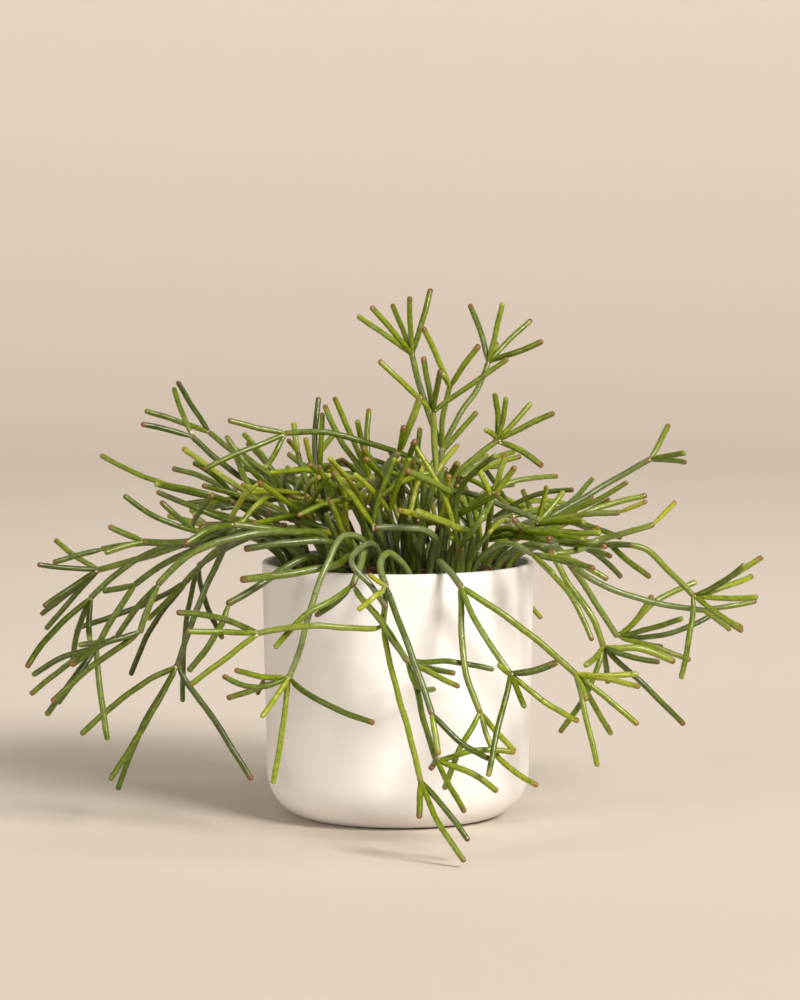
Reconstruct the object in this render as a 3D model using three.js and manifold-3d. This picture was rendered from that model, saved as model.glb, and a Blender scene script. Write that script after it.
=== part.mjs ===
// A potted rhipsalis: a plain white pot of potting mix, and the many thin jointed stems that rise from the
// mix and arch or hang over the rim all round. Millimetres, +Z up, the ground at z = 0 and the pot's axis on
// Z. Seen from the front, the eye looks along +Y with +X on the right.
import * as THREE from "three";
import { mergeVertices } from "three/addons/utils/BufferGeometryUtils.js";
import Module from "manifold-3d";

const wasm = await Module();
wasm.setup();

// The pot
const POT_HEIGHT = 133;
const POT_RIM_RADIUS = 70.5;
const POT_FOOT_RADIUS = 67.5; // where the tapered side would meet the ground
const POT_FOOT_ROUND = 24; // radius of the rounding between the side and the flat foot
const POT_WALL = 3.2;
const POT_FLOOR = 5;
const POT_RIM_ROUND = 1.2;
const EDGE_BOW = 0.3; // how far the rim's corner is cut back, as a share of its rounding
const POT_SIDES = 40;
const FOOT_STEPS = 4; // along the outer foot rounding, and half as many inside

// The potting mix
const SOIL_TOP = 126;
const SOIL_CROWN = 0.8; // how much higher the middle stands
const FIT_GAP = 0.3;
const HOLE_FLOOR = 114;
const HOLE_EASE = 0.45; // between a stem and the wall of its hole
const HOLE_SIDES = 6;

// The stems
const STEM_SIDES = 5;
const ROOT_TOP = 130.5; // a stem stands straight up to this height, then bends away
const TIP_SHARE = 0.55; // the width that is left at a stem's rounded tip
const TIP_REACH = 1.05; // the tip's own corners lie within this many radii of it
const TIP_ROUND = 0.8; // how far from its end a tip starts to narrow, in radii
const SINK = 1.0; // a stem starts this many radii back inside the one that bears it
const BOW_FROM = 34; // stems longer than this, given by their tip alone, bend a little
const BOW = 0.07;
const GROUND_GAP = 0.5;
const CLEAR_GAP = 0.7; // least space between stems of different shoots
const CLEAR_PASSES = 160;
const CLEAR_STEP = 0.02; // how much further than needed each pass moves them
const PARALLEL = 1e-9;
const LEAST_HOLD = 0.05; // a stick that its free end can hardly move is left alone
const SAME_POINT = 1e-4;
const EVEN_OUT = 0.25; // crumbs of surface up to this size are evened out where stems join

// Where the eye stands for the places below: they are given in the upright plane through the pot's axis,
// and the third number brings each one nearer to the eye along its own line of sight.
const EYE_DISTANCE = 2500;
const EYE_HEIGHT = 387;

// Each shoot: its name, where its root stands in the mix [across, toward the eye], and its first stem. A stem
// is [its diameter, the places it passes, the stems that grow from its end], and a place is [across, up,
// toward the eye].
const SHOOTS = [
  ["crown", [20, 8], [3.5, [[23, 149, 10], [22, 165, 9], [23, 192, 8]], [
    [3.2, [[16, 209, 4], [12, 221, 2], [7, 241, 0]], [
      [2.9, [[-21, 260, -12]]], [2.9, [[-14, 265, 14]]], [2.9, [[-3, 266, -18]]],
      [2.9, [[6, 270, 12]]], [2.9, [[12, 255, 2], [17, 274, -4]]]]],
    [3, [[23, 206, 13], [27, 224, 18]], [
      [2.9, [[13, 254, 28]]], [2.9, [[42, 245, 30]]], [2.9, [[23, 230, 30]]]]],
    [3, [[32, 209, 2], [42, 224, -4], [47, 237, -8]], [
      [2.9, [[37, 266, -20]]], [2.9, [[54, 267, -4]]], [2.9, [[69, 258, -20]]],
      [2.9, [[61, 241, 0], [75, 247, 6]]], [2.9, [[51, 246, -22]]]]]]]],
  ["crown_front", [10, 26], [3.2, [[20, 180, 34]], [
    [2.7, [[31, 193, 22]]], [2.9, [[6, 176, 40], [-8, 167, 40]]],
    [3.2, [[19, 193, 38], [18, 211, 42]], [
      [2.9, [[-10, 237, 54]]], [2.9, [[13, 239, 42]]], [2.9, [[22, 232, 58]]],
      [2.9, [[30, 219, 46], [43, 228, 50], [57, 238, 52]]]]]]]],
  ["front_thick", [-6, 24], [3.8, [[-10, 175, 40], [1, 190, 52]], [
    [3.8, [[12, 219, 66]]], [2.9, [[3, 203, 66]]]]]],
  ["upper_right", [33, 12], [3.3, [[26, 175, 20]], [
    [3.6, [[31, 184, 36]]],
    [3.2, [[43, 189, 22], [52, 196, 22]], [
      [2.9, [[50, 220, 8]]], [2.9, [[56, 218, 30]]], [2.9, [[69, 215, 14]]],
      [2.9, [[81, 210, 30]]], [3.2, [[75, 182, 36]]], [2.9, [[45, 201, 34]]]]]]]],
  ["right_front_up", [30, 34], [3.6, [[32, 141, 44]], [
    [3.3, [[43, 157, 52], [49, 166, 54]], [
      [3.2, [[61, 182, 62]]], [3.2, [[56, 189, 50]]], [2.9, [[41, 182, 46]]]]],
    [3, [[30, 162, 60], [51, 188, 76]]], [2.7, [[24, 166, 52], [7, 195, 50]]]]]],
  ["middle_left_a", [-8, 8], [3.2, [[-12, 155, 8], [-15, 176, 8]], [
    [2.9, [[-16, 195, 2], [-15, 212, -6]]], [2.9, [[-33, 218, 12]]],
    [2.9, [[-30, 196, -4], [-38, 214, -12]]], [2.9, [[-21, 206, 22]]],
    [2.9, [[-27, 170, 26], [-35, 184, 34]]]]]],
  ["middle_left_b", [-22, -6], [3, [[-36, 148, -8], [-41, 168, -10]], [
    [2.9, [[-43, 190, -16], [-41, 218, -24]]], [2.9, [[-39, 210, 0]]], [2.7, [[-48, 197, -2]]]]]],
  ["middle_left_c", [-20, 10], [3, [[-30, 143, 12], [-37, 156, 14]], [
    [3, [[-47, 173, 14], [-52, 190, 14]], [
      [2.9, [[-54, 205, 8]]], [2.7, [[-57, 196, 22]]]]]]]],
  ["left_up_a", [-34, -14], [3, [[-48, 150, -18], [-58, 165, -22]], [
    [2.9, [[-92, 160, -6]]], [2.7, [[-43, 163, -34], [-22, 172, -44]]],
    [2.9, [[-69, 186, -30], [-80, 199, -40]]], [2.9, [[-76, 180, -14], [-89, 198, -16]]]]]],
  ["arch_left", [4, -6], [3.3, [[13, 165, 2], [14, 183, 6]], [
    [3.2, [[-15, 194, 22], [-41, 200, 30], [-59, 199, 32]], [
      [2.9, [[-88, 206, 40]]], [2.9, [[-72, 193, 38], [-85, 188, 44], [-101, 180, 50]]],
      [2.9, [[-64, 188, 38], [-69, 181, 48]]]]]]]],
  ["left_up_b", [-38, -30], [3.2, [[-56, 166, -46]], [
    [3, [[-72, 180, -58], [-87, 191, -68], [-98, 200, -74]], [
      [2.9, [[-114, 226, -92]]], [2.9, [[-131, 211, -72]]]]],
    [3, [[-82, 177, -48], [-107, 198, -52]], [
      [2.9, [[-133, 204, -44]]], [2.9, [[-116, 223, -64]]]]]]]],
  ["left_up_c", [-46, -2], [3, [[-66, 155, -8], [-84, 166, -12]], [
    [2.9, [[-100, 176, -20], [-117, 181, -26]]], [2.9, [[-96, 178, 0], [-106, 184, 6]]]]]],
  ["left_long", [-46, 12], [2.9, [[-70, 152, 16], [-87, 164, 18]], [
    [2.7, [[-103, 169, 20], [-121, 173, 16], [-139, 180, 12], [-154, 188, 8]]],
    [2.9, [[-110, 169, 34], [-126, 173, 44]]]]]],
  ["left_middle", [-47, 26], [3.2, [[-68, 147, 34], [-84, 151, 38]], [
    [2.9, [[-104, 160, 34], [-125, 169, 28]]],
    [3, [[-104, 148, 48]], [
      [2.9, [[-124, 155, 56], [-142, 167, 62]]], [2.9, [[-112, 154, 42], [-123, 164, 40]]]]]]]],
  ["left_thick", [-30, 28], [3.5, [[-38, 143, 36], [-62, 149, 58], [-86, 152, 70]], [
    [3.5, [[-108, 143, 70], [-133, 143, 68]], [
      [3, [[-150, 151, 62]]], [3, [[-152, 137, 78]]]]],
    [3.2, [[-98, 149, 82], [-111, 141, 90]]]]]],
  ["far_left_a", [-54, -18], [3.2, [
    [-75, 146, -26], [-95, 145, -32], [-134, 134, -40], [-156, 128, -42]], [
    [2.9, [[-178, 144, -58]]], [2.9, [[-187, 131, -30]]], [2.9, [[-184, 109, -26]]],
    [2.9, [[-183, 97, -48]]], [2.9, [[-185, 105, -72]]]]]],
  ["far_left_b", [-58, -4], [3.2, [[-78, 146, -4], [-108, 141, -6], [-134, 142, -6], [-154, 139, -4]], [
    [2.9, [[-179, 132, 4]]]]]],
  ["far_left_c", [-58, 9], [3.2, [
    [-76, 145, 16], [-100, 143, 20], [-124, 139, 22], [-155, 118, 22], [-160, 113, 22]], [
    [3, [[-166, 97, 14], [-169, 80, 10]]], [2.9, [[-160, 91, 34]]],
    [3, [[-176, 99, 28], [-185, 89, 30], [-193, 77, 34]]]]]],
  ["far_left_low", [-46, 38], [3.3, [[-68, 146, 52], [-95, 142, 60], [-120, 132, 64], [-137, 120, 66]], [
    [2.9, [[-153, 117, 78]]],
    [3.2, [[-146, 106, 66], [-157, 87, 64]], [
      [2.9, [[-173, 83, 62], [-190, 73, 58]]], [3, [[-177, 58, 76]]],
      [3, [[-183, 52, 50]]], [3, [[-154, 60, 70], [-151, 39, 74]]]]]]]],
  ["left_front_low", [-34, 49], [3.3, [
    [-38, 145, 56], [-54, 148, 72], [-80, 146, 86], [-108, 136, 94], [-125, 120, 96]], [
    [3.2, [[-130, 107, 98], [-134, 95, 98]], [
      [3, [[-152, 90, 104], [-170, 78, 108]]], [2.9, [[-166, 89, 90]]],
      [3, [[-160, 77, 94], [-180, 59, 94]]]]],
    [3, [[-138, 105, 86], [-146, 93, 84]], [
      [2.9, [[-171, 79, 78], [-191, 63, 72]]]]]]]],
  ["left_back_low", [-48, -34], [3.2, [
    [-52, 144, -40], [-68, 149, -58], [-92, 140, -78], [-110, 122, -92]], [
    [3, [[-130, 111, -104], [-166, 98, -112]]], [2.9, [[-130, 102, -82]]],
    [3, [[-128, 98, -106], [-139, 73, -112]]]]]],
  ["left_hang", [-54, 19], [3.3, [
    [-72, 149, 30], [-83, 151, 38], [-92, 135, 44], [-100, 118, 46], [-106, 103, 46], [-115, 77, 46]], [
    [3, [[-129, 71, 44], [-147, 58, 42], [-165, 42, 38]]], [3, [[-130, 50, 56], [-150, 18, 64]]],
    [2.9, [[-133, 46, 32], [-146, 13, 22]]], [3, [[-97, 52, 54], [-76, 18, 62]]]]]],
  ["left_back_hang", [-40, -44], [3.2, [
    [-44, 144, -50], [-60, 149, -66], [-82, 143, -88], [-104, 130, -102]], [
    [3, [[-108, 112, -108], [-112, 59, -114]]], [2.9, [[-119, 110, -92]]],
    [2.9, [[-100, 112, -122], [-91, 92, -130]]]]]],
  ["left_rim", [-36, 38], [3.6, [[-45, 135, 50], [-59, 129, 60], [-72, 120, 70], [-89, 110, 78]], [
    [3, [[-91, 101, 82], [-98, 89, 84], [-109, 75, 84]]]]]],
  ["rim_left_a", [-22, 40], [3.6, [[-24, 137, 52]], [
    [3.6, [[-32, 131, 68], [-51, 127, 78], [-82, 123, 84]]],
    [3.5, [[-36, 143, 60], [-51, 143, 66], [-80, 139, 74]]]]]],
  ["rim_left_b", [-18, 26], [3.5, [[-26, 146, 32]], [
    [3.5, [[-51, 148, 46], [-75, 145, 54]]], [3.2, [[-40, 151, 30], [-68, 158, 24]]]]]],
  ["front_left_hang", [-20, 54], [3.3, [
    [-17, 142, 62], [-28, 146, 70], [-36, 133, 80], [-42, 118, 86], [-47, 102, 90], [-51, 86, 92],
    [-57, 71, 94]], [
    [2.9, [[-85, 76, 92]]], [2.9, [[-77, 67, 106], [-91, 73, 112]]], [2.9, [[-89, 61, 84]]],
    [2.9, [[-71, 51, 110]]], [3, [[-60, 45, 98], [-65, 16, 98]]],
    [3, [[-41, 60, 108], [-12, 48, 118]]]]]],
  ["front_middle_left", [-8, 38], [3.6, [[-17, 139, 64], [-21, 126, 82], [-24, 119, 86]], [
    [3.2, [[-35, 112, 96], [-46, 106, 102], [-64, 87, 108]]],
    [3, [[-34, 110, 80], [-43, 104, 80]]],
    [3.2, [[-9, 102, 98], [5, 81, 104]], [
      [2.9, [[30, 74, 112]]], [2.9, [[28, 80, 98], [50, 76, 92]]], [2.9, [[32, 67, 124]]],
      [2.9, [[9, 70, 98], [19, 66, 90]]]]]]]],
  ["front_hook", [-7, 50], [3.2, [[-14, 142, 72], [-24, 132, 92], [-13, 118, 100], [-6, 108, 104]]]],
  ["front_trail", [6, 56], [3.8, [[-5, 137, 68], [-9, 132, 80], [-6, 119, 90]], [
    [2.5, [[-15, 126, 104]]],
    [2.5, [[-14, 113, 112], [-21, 107, 116]]],
    [3.2, [[4, 92, 116], [11, 73, 122], [18, 52, 128]], [
      [3, [[21, 31, 134]]], [3, [[34, 37, 130], [48, 29, 126]]]]],
    [3.3, [[-7, 108, 94], [-8, 97, 98]], [
      [3.2, [[-25, 98, 106], [-46, 99, 112], [-73, 95, 108]], [
        [3, [[-92, 103, 102], [-115, 106, 96]]], [3, [[-110, 96, 116]]],
        [3, [[-92, 80, 106], [-108, 68, 102]]]]],
      [3.2, [[-2, 71, 112], [6, 42, 130], [12, 17, 146]], [
        [3, [[11, -2, 158]]], [3, [[24, 4, 152], [37, -14, 158]]],
        [3, [[20, -2, 160], [35, -25, 170]]]]],
      [3.2, [[5, 79, 104], [14, 47, 114], [20, 28, 122]], [
        [3, [[40, 34, 118], [61, 33, 110]]], [3, [[38, 22, 124], [52, 12, 122]]],
        [3, [[35, 1, 138]]], [2.9, [[17, 24, 132]]]]]]]]]],
  ["front_right", [21, 50], [3.6, [[22, 132, 64], [27, 127, 74], [33, 119, 82]], [
    [3.2, [[33, 97, 92], [35, 76, 98], [43, 53, 104]], [
      [3, [[32, 34, 110], [24, 13, 112]]], [3, [[50, 33, 112], [73, 15, 118]]],
      [3, [[61, 33, 98]]]]],
    [3.2, [[40, 102, 98], [48, 89, 104], [59, 73, 108]], [
      [2.9, [[52, 79, 118]]], [3.6, [[83, 80, 116]]], [3, [[66, 56, 120]]],
      [3, [[78, 58, 110], [94, 49, 104]]], [3, [[52, 46, 122], [47, 20, 132]]]]],
    [3.2, [[53, 106, 84], [74, 90, 82], [93, 73, 80]], [
      [2.9, [[125, 74, 76]]], [3, [[110, 71, 92], [126, 67, 98]]], [3, [[98, 50, 86], [104, 25, 90]]],
      [3, [[111, 42, 68]]], [3, [[110, 60, 78], [125, 47, 80]]], [2.9, [[98, 60, 98]]]]]]]],
  ["front_stub", [16, 38], [3.5, [[19, 145, 52], [-13, 150, 66]]]],
  ["right_up", [46, -8], [3.2, [[60, 143, -12], [76, 154, -18]], [
    [3.2, [[100, 168, -28], [115, 177, -34], [131, 186, -38]], [
      [2.9, [[140, 204, -52]]], [2.9, [[149, 189, -26]]], [2.9, [[149, 184, -56]]]]],
    [2.9, [[90, 164, -34], [101, 176, -46]]], [2.9, [[98, 162, -10], [119, 174, -2]]]]]],
  ["right_middle", [46, 6], [3, [[62, 146, 10], [72, 152, 12]], [
    [2.7, [[77, 172, 24]]], [2.9, [[86, 169, 0]]],
    [2.9, [[94, 157, 14]], [
      [2.9, [[112, 163, 6], [129, 167, 2]]], [2.9, [[115, 158, 24]], [[2.5, [[129, 164, 32]]]]]]],
    [2.9, [[97, 153, 34]]]]]],
  ["right_dark", [22, 22], [3.1, [
    [25, 150, 26], [26, 168, 30], [43, 166, 40], [53, 162, 44], [74, 154, 50]]]],
  ["right_arch", [36, 24], [3.5, [[39, 147, 36]], [
    [3.5, [[34, 163, 50], [24, 170, 60], [4, 180, 72]]], [3.5, [[31, 150, 66], [9, 159, 82]]]]]],
  ["right_low", [50, 28], [3.3, [[66, 141, 38], [80, 137, 46]], [
    [3.2, [[92, 138, 46], [105, 143, 44], [120, 148, 42], [133, 152, 42]], [[2.5, [[144, 164, 40]]]]],
    [3.2, [[89, 120, 54], [100, 105, 58], [107, 87, 60]], [
      [2.9, [[97, 78, 74]]], [3, [[100, 68, 66], [84, 43, 70]]], [3, [[109, 69, 48]]],
      [3, [[136, 80, 74]]], [3.6, [[126, 87, 58], [144, 80, 54]]],
      [3, [[130, 66, 62], [149, 47, 58]]]]]]]],
  ["far_right_a", [57, 12], [3.2, [[74, 144, 16], [92, 143, 18], [110, 142, 20]], [
    [2.9, [[114, 137, 30], [131, 124, 38]]],
    [3.2, [[128, 139, 16], [141, 127, 12], [154, 114, 10]], [
      [3, [[151, 92, 16], [147, 71, 20]]], [2.9, [[179, 96, 24]]], [2.9, [[184, 125, -8]]],
      [2.9, [[187, 114, 14]]], [2.9, [[173, 125, 0], [189, 135, 2]]], [2.9, [[180, 131, 22]]]]]]]],
  ["far_right_b", [58, -6], [3.2, [[78, 141, -12], [99, 124, -20], [126, 113, -24], [159, 107, -26]], [
    [2.9, [[179, 98, -14]]], [2.9, [[186, 112, -34]]], [2.9, [[172, 97, -48]]]]]],
  ["right_back", [46, -30], [3.3, [[64, 147, -44], [84, 136, -56], [105, 107, -64], [114, 93, -66]], [
    [3, [[134, 112, -76], [155, 122, -84]]], [2.9, [[132, 115, -58]]], [2.9, [[148, 103, -58]]],
    [3, [[136, 94, -80], [152, 99, -90], [165, 106, -98]]], [2.9, [[137, 88, -92]]],
    [3, [[133, 88, -62], [152, 81, -64]]]]]],
  ["right_tips", [52, -18], [3, [[70, 147, -28], [92, 142, -40]], [
    [2.9, [[111, 135, -34]]], [2.9, [[106, 134, -52], [116, 124, -58]]], [2.7, [[104, 151, -34]]],
    [2.9, [[102, 139, -60]]]]]],
  ["right_front_tips", [38, 44], [3, [[58, 142, 62], [70, 136, 70]], [
    [2.9, [[90, 133, 74], [109, 123, 74]]], [2.9, [[102, 129, 88]]], [2.9, [[81, 126, 88]]],
    [2.9, [[90, 114, 80], [101, 91, 86]]]]]],
];

// The shoots behind the pot, which grow by a rule: where the root stands, where the joint comes [across,
// height, away from the eye], and how steeply, in radians, the stems rise or hang from it.
const BACK_SHOOTS = [
  [[30, -20], [50, 150, 56], 0.1],
  [[14, -20], [24, 162, 40], 0.3],
  [[-2, -20], [-6, 162, 44], 0.3],
  [[-20, -22], [-34, 154, 52], 0.25],
  [[36, -38], [64, 142, 92], -0.1],
  [[20, -34], [34, 150, 92], 0.1],
  [[5, -36], [4, 156, 96], 0.15],
  [[-10, -36], [-28, 151, 98], 0.1],
  [[-26, -36], [-58, 146, 86], 0.05],
  [[26, -51], [46, 118, 112], -0.9],
  [[9, -55], [14, 104, 122], -1.1],
  [[-8, -55], [-18, 112, 116], -0.9],
  [[-24, -52], [-46, 100, 108], -1.1],
];
// The thickets in the middle, which grow by the same rule from one forked stem: its name, where its root
// stands, where it forks [across, height, away], and its arms as above.
const THICKETS = [
  ["inner_left", [-34, 4], [-42, 144, -2], [
    [[-62, 151, -14], 0.25], [[-72, 163, 10], 0.3], [[-55, 166, 32], 0.4], [[-80, 148, 0], 0.1],
    [[-48, 160, -38], 0.5]]],
  ["inner_middle", [8, 12], [4, 146, -12], [
    [[-18, 162, -22], 0.5], [[0, 168, -34], 0.7], [[22, 156, -40], 0.4], [[8, 170, 10], 0.7]]],
  ["inner_right", [36, -4], [44, 144, 2], [
    [[64, 150, -18], 0.2], [[70, 143, 27], 0.2], [[60, 153, 34], 0.2], [[80, 145, -34], 0.1]]],
];
const ARM_DIAMETER = 3;
const ARM_STEMS = 3;
const ARM_LENGTH = [32, 54];
const ARM_ARCH = 3; // how far the middle of an arm stands above its ends

const BACK_STEMS = 4; // at each joint
const BACK_MAIN_DIAMETER = 3.2;
const BACK_STEM_DIAMETER = 2.9;
const BACK_OVER_RIM = 149; // height at which a hanging shoot crosses the rim
const BACK_PAST_RIM = 12; // how far outside the rim it then turns down
const BACK_LENGTH = [42, 66];
const BACK_SPREAD = 1.15; // half of the fan of stems at a joint, in radians
const BACK_LIFT_SPREAD = 0.5;
const BACK_ARCH = 0.1; // how far a stem's middle stands up, as a share of its reach
const FAN_MOST_ACROSS = 120;
const BACK_LEAST_HEIGHT = 9;

// A repeatable draw between 0 and 1
const DRAW_FACTOR = 16807;
const DRAW_MODULUS = 2147483647;
let drawn = 20317;
function draw() {
  drawn = (drawn * DRAW_FACTOR) % DRAW_MODULUS;
  return drawn / DRAW_MODULUS;
}

// Rings and stems. A ring is a place on the middle line of a stem. Stems that meet at a joint share its
// ring.
const rings = [];
const stems = [];

function addRing([x, y, z], fixed = false) {
  rings.push({ x, y, z, fixed });
  return rings.length - 1;
}

function inSight([across, up, toward], radius) {
  const share = (EYE_DISTANCE - toward) / EYE_DISTANCE;
  const height = EYE_HEIGHT + (up - EYE_HEIGHT) * share;
  return [across * share, -toward, Math.max(height, radius + GROUND_GAP)];
}

function rootRings([across, toward]) {
  return [HOLE_FLOOR + FIT_GAP, ROOT_TOP].map((z) => addRing([across, -toward, z], true));
}

function addStem(stem) {
  stems.push(stem);
  return stems.length - 1;
}

// A stem that is given by its tip alone, and is long, bends a little toward the eye or away from it.
function bowRing(from, tip) {
  const length = Math.hypot(tip[0] - from.x, tip[1] - from.y, tip[2] - from.z);
  if (length <= BOW_FROM) return [];
  const bend = BOW * length * (draw() < 0.5 ? -1 : 1);
  return [addRing([(from.x + tip[0]) / 2, (from.y + tip[1]) / 2 + bend, (from.z + tip[2]) / 2])];
}

function growStem(shoot, [diameter, places, children = []], start, before) {
  const radius = diameter / 2;
  const seen = places.map((place) => inSight(place, radius));
  const bow = seen.length === 1 && before !== null ? bowRing(rings[start[0]], seen[0]) : [];
  const chain = [...start, ...bow, ...seen.map((place) => addRing(place))];
  const self = addStem({ shoot, radius, chain, before });
  for (const child of children) growStem(shoot, child, chain.slice(-1), self);
}

// The tip of one stem of the fan at a joint, and how far out it lies: out is the fan's middle direction, and
// share, from 0 to 1, is the stem's place in the fan.
function fanTip([across, height, away], [outX, outY], rise, share, [least, most]) {
  const turn = BACK_SPREAD * (2 * share - 1);
  const length = least + (most - least) * draw();
  const lift = rise + BACK_LIFT_SPREAD * (draw() - 0.5);
  const flat = Math.cos(lift) * length;
  const tipX = across + (outX * Math.cos(turn) - outY * Math.sin(turn)) * flat;
  const tip = [
    Math.max(-FAN_MOST_ACROSS, Math.min(FAN_MOST_ACROSS, tipX)),
    away + (outY * Math.cos(turn) + outX * Math.sin(turn)) * flat,
    Math.max(BACK_LEAST_HEIGHT, height + Math.sin(lift) * length),
  ];
  return [tip, flat];
}

function growBackShoot(shoot, [root, [across, height, away], rise]) {
  const reach = Math.hypot(across, away);
  const [outX, outY] = [across / reach, away / reach];
  const [midX, midY] = [(root[0] + outX * POT_RIM_RADIUS) / 2, (-root[1] + outY * POT_RIM_RADIUS) / 2];
  const past = POT_RIM_RADIUS + BACK_PAST_RIM;
  const hangs = height < BACK_OVER_RIM;
  const between = hangs
    ? [[midX, midY, BACK_OVER_RIM - BACK_MAIN_DIAMETER], [outX * past, outY * past, BACK_OVER_RIM]]
    : [[midX, midY, (BACK_OVER_RIM + height) / 2]];
  const places = [...between, [across, away, height]];
  const chain = [...rootRings(root), ...places.map((place) => addRing(place))];
  const self = addStem({ shoot, radius: BACK_MAIN_DIAMETER / 2, chain, before: null });
  for (let i = 0; i < BACK_STEMS; i++) {
    const share = (i + draw()) / BACK_STEMS;
    const [tip, flat] = fanTip([across, height, away], [outX, outY], rise, share, BACK_LENGTH);
    const middle = [(across + tip[0]) / 2, (away + tip[1]) / 2, (height + tip[2]) / 2 + BACK_ARCH * flat];
    const ends = [...chain.slice(-1), addRing(middle), addRing(tip)];
    addStem({ shoot, radius: BACK_STEM_DIAMETER / 2, chain: ends, before: self });
  }
}

function growThicket(shoot, root, [forkX, forkHeight, forkY], arms) {
  const trunkChain = [...rootRings(root), addRing([forkX, forkY, forkHeight])];
  const trunk = addStem({ shoot, radius: BACK_MAIN_DIAMETER / 2, chain: trunkChain, before: null });
  for (const [[across, height, away], rise] of arms) {
    const reach = Math.hypot(across - forkX, away - forkY);
    const out = [(across - forkX) / reach, (away - forkY) / reach];
    const middle = [(across + forkX) / 2, (away + forkY) / 2, (height + forkHeight) / 2 + ARM_ARCH];
    const chain = [...trunkChain.slice(-1), addRing(middle), addRing([across, away, height])];
    const arm = addStem({ shoot, radius: ARM_DIAMETER / 2, chain, before: trunk });
    for (let i = 0; i < ARM_STEMS; i++) {
      const [tip] = fanTip([across, height, away], out, rise, (i + draw()) / ARM_STEMS, ARM_LENGTH);
      const ends = [...chain.slice(-1), addRing(tip)];
      addStem({ shoot, radius: BACK_STEM_DIAMETER / 2, chain: ends, before: arm });
    }
  }
}

const shootNames = [];
for (const [name, root, first] of SHOOTS) {
  shootNames.push(name);
  growStem(shootNames.length - 1, first, rootRings(root), null);
}
for (const [name, root, fork, arms] of THICKETS) {
  shootNames.push(name);
  growThicket(shootNames.length - 1, root, fork, arms);
}
BACK_SHOOTS.forEach((rule, i) => {
  shootNames.push("back_" + String(i + 1).padStart(2, "0"));
  growBackShoot(shootNames.length - 1, rule);
});

// Stems of different shoots that would cross are bent clear of each other, towards the eye and away from it.
const sticks = [];
for (const { shoot, radius, chain } of stems)
  for (let i = 0; i + 1 < chain.length; i++) sticks.push({ shoot, radius, a: chain[i], b: chain[i + 1] });

// The shares along stick p and stick q where the two come closest, and the way from q to p there
function nearest(p, q) {
  const [a, b, c, d] = [rings[p.a], rings[p.b], rings[q.a], rings[q.b]];
  const u = [b.x - a.x, b.y - a.y, b.z - a.z];
  const v = [d.x - c.x, d.y - c.y, d.z - c.z];
  const w = [a.x - c.x, a.y - c.y, a.z - c.z];
  const dot = (m, n) => m[0] * n[0] + m[1] * n[1] + m[2] * n[2];
  const [uu, uv, vv, uw, vw] = [dot(u, u), dot(u, v), dot(v, v), dot(u, w), dot(v, w)];
  const clamp = (value) => Math.min(1, Math.max(0, value));
  const flat = uu * vv - uv * uv;
  let s = flat > PARALLEL * uu * vv ? clamp((uv * vw - vv * uw) / flat) : 0.5;
  const t = clamp((uv * s + vw) / vv);
  s = clamp((uv * t - uw) / uu);
  return [s, t, [w[0] + u[0] * s - v[0] * t, w[1] + u[1] * s - v[1] * t, w[2] + u[2] * s - v[2] * t]];
}

function mayMeet(p, q) {
  if (p.shoot === q.shoot) return false;
  const reach = p.radius + q.radius + CLEAR_GAP;
  const apart = (key) => {
    const [a, b, c, d] = [rings[p.a][key], rings[p.b][key], rings[q.a][key], rings[q.b][key]];
    return Math.min(a, b) > Math.max(c, d) + reach || Math.min(c, d) > Math.max(a, b) + reach;
  };
  return !apart("x") && !apart("z");
}

const pairs = [];
sticks.forEach((p, i) => {
  for (let j = i + 1; j < sticks.length; j++) if (mayMeet(p, sticks[j])) pairs.push([p, sticks[j]]);
});

function shift(stick, share, move) {
  const [a, b] = [rings[stick.a], rings[stick.b]];
  const wa = a.fixed ? 0 : 1 - share;
  const wb = b.fixed ? 0 : share;
  const total = wa * (1 - share) + wb * share;
  if (total < LEAST_HOLD) return;
  a.y += (move * wa) / total;
  b.y += (move * wb) / total;
}

for (let pass = 0; pass < CLEAR_PASSES; pass++) {
  let moved = 0;
  for (const [p, q] of pairs) {
    const [s, t, [dx, dy, dz]] = nearest(p, q);
    const reach = p.radius + q.radius + CLEAR_GAP;
    const flat = dx * dx + dz * dz;
    if (flat >= reach * reach) continue;
    const want = Math.sqrt(reach * reach - flat);
    if (Math.abs(dy) >= want) continue;
    const move = (want - Math.abs(dy)) / 2 + CLEAR_STEP;
    const side = dy >= 0 ? 1 : -1;
    shift(p, s, side * move);
    shift(q, t, -side * move);
    moved++;
  }
  if (!moved) break;
}

// Solids, from closed meshes that share their vertices
function closed(geometry) {
  geometry.deleteAttribute("normal");
  geometry.deleteAttribute("uv");
  return mergeVertices(geometry, SAME_POINT);
}

function solid(geometry) {
  const mesh = new wasm.Mesh({
    numProp: 3,
    vertProperties: new Float32Array(geometry.attributes.position.array),
    triVerts: new Uint32Array(geometry.index.array),
  });
  return new wasm.Manifold(mesh);
}

function geometryOf(manifold) {
  const { numProp, numVert, vertProperties, triVerts } = manifold.getMesh();
  const positions = new Float32Array(numVert * 3);
  for (let i = 0; i < numVert; i++)
    positions.set(vertProperties.subarray(i * numProp, i * numProp + 3), i * 3);
  const geometry = new THREE.BufferGeometry();
  geometry.setAttribute("position", new THREE.BufferAttribute(positions, 3));
  geometry.setIndex(new THREE.BufferAttribute(new Uint32Array(triVerts), 1));
  geometry.computeVertexNormals();
  return geometry;
}

// The same solid without the crumbs of surface that joining and cutting leave
function evened(manifold) {
  return manifold.asOriginal().simplify(EVEN_OUT);
}

// A round body about the Z axis, from its profile of [radius, height]
function turned(profile, sides) {
  const points = profile.map(([radius, height]) => new THREE.Vector2(radius, height));
  return closed(new THREE.LatheGeometry(points, sides).rotateX(Math.PI / 2));
}

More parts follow.
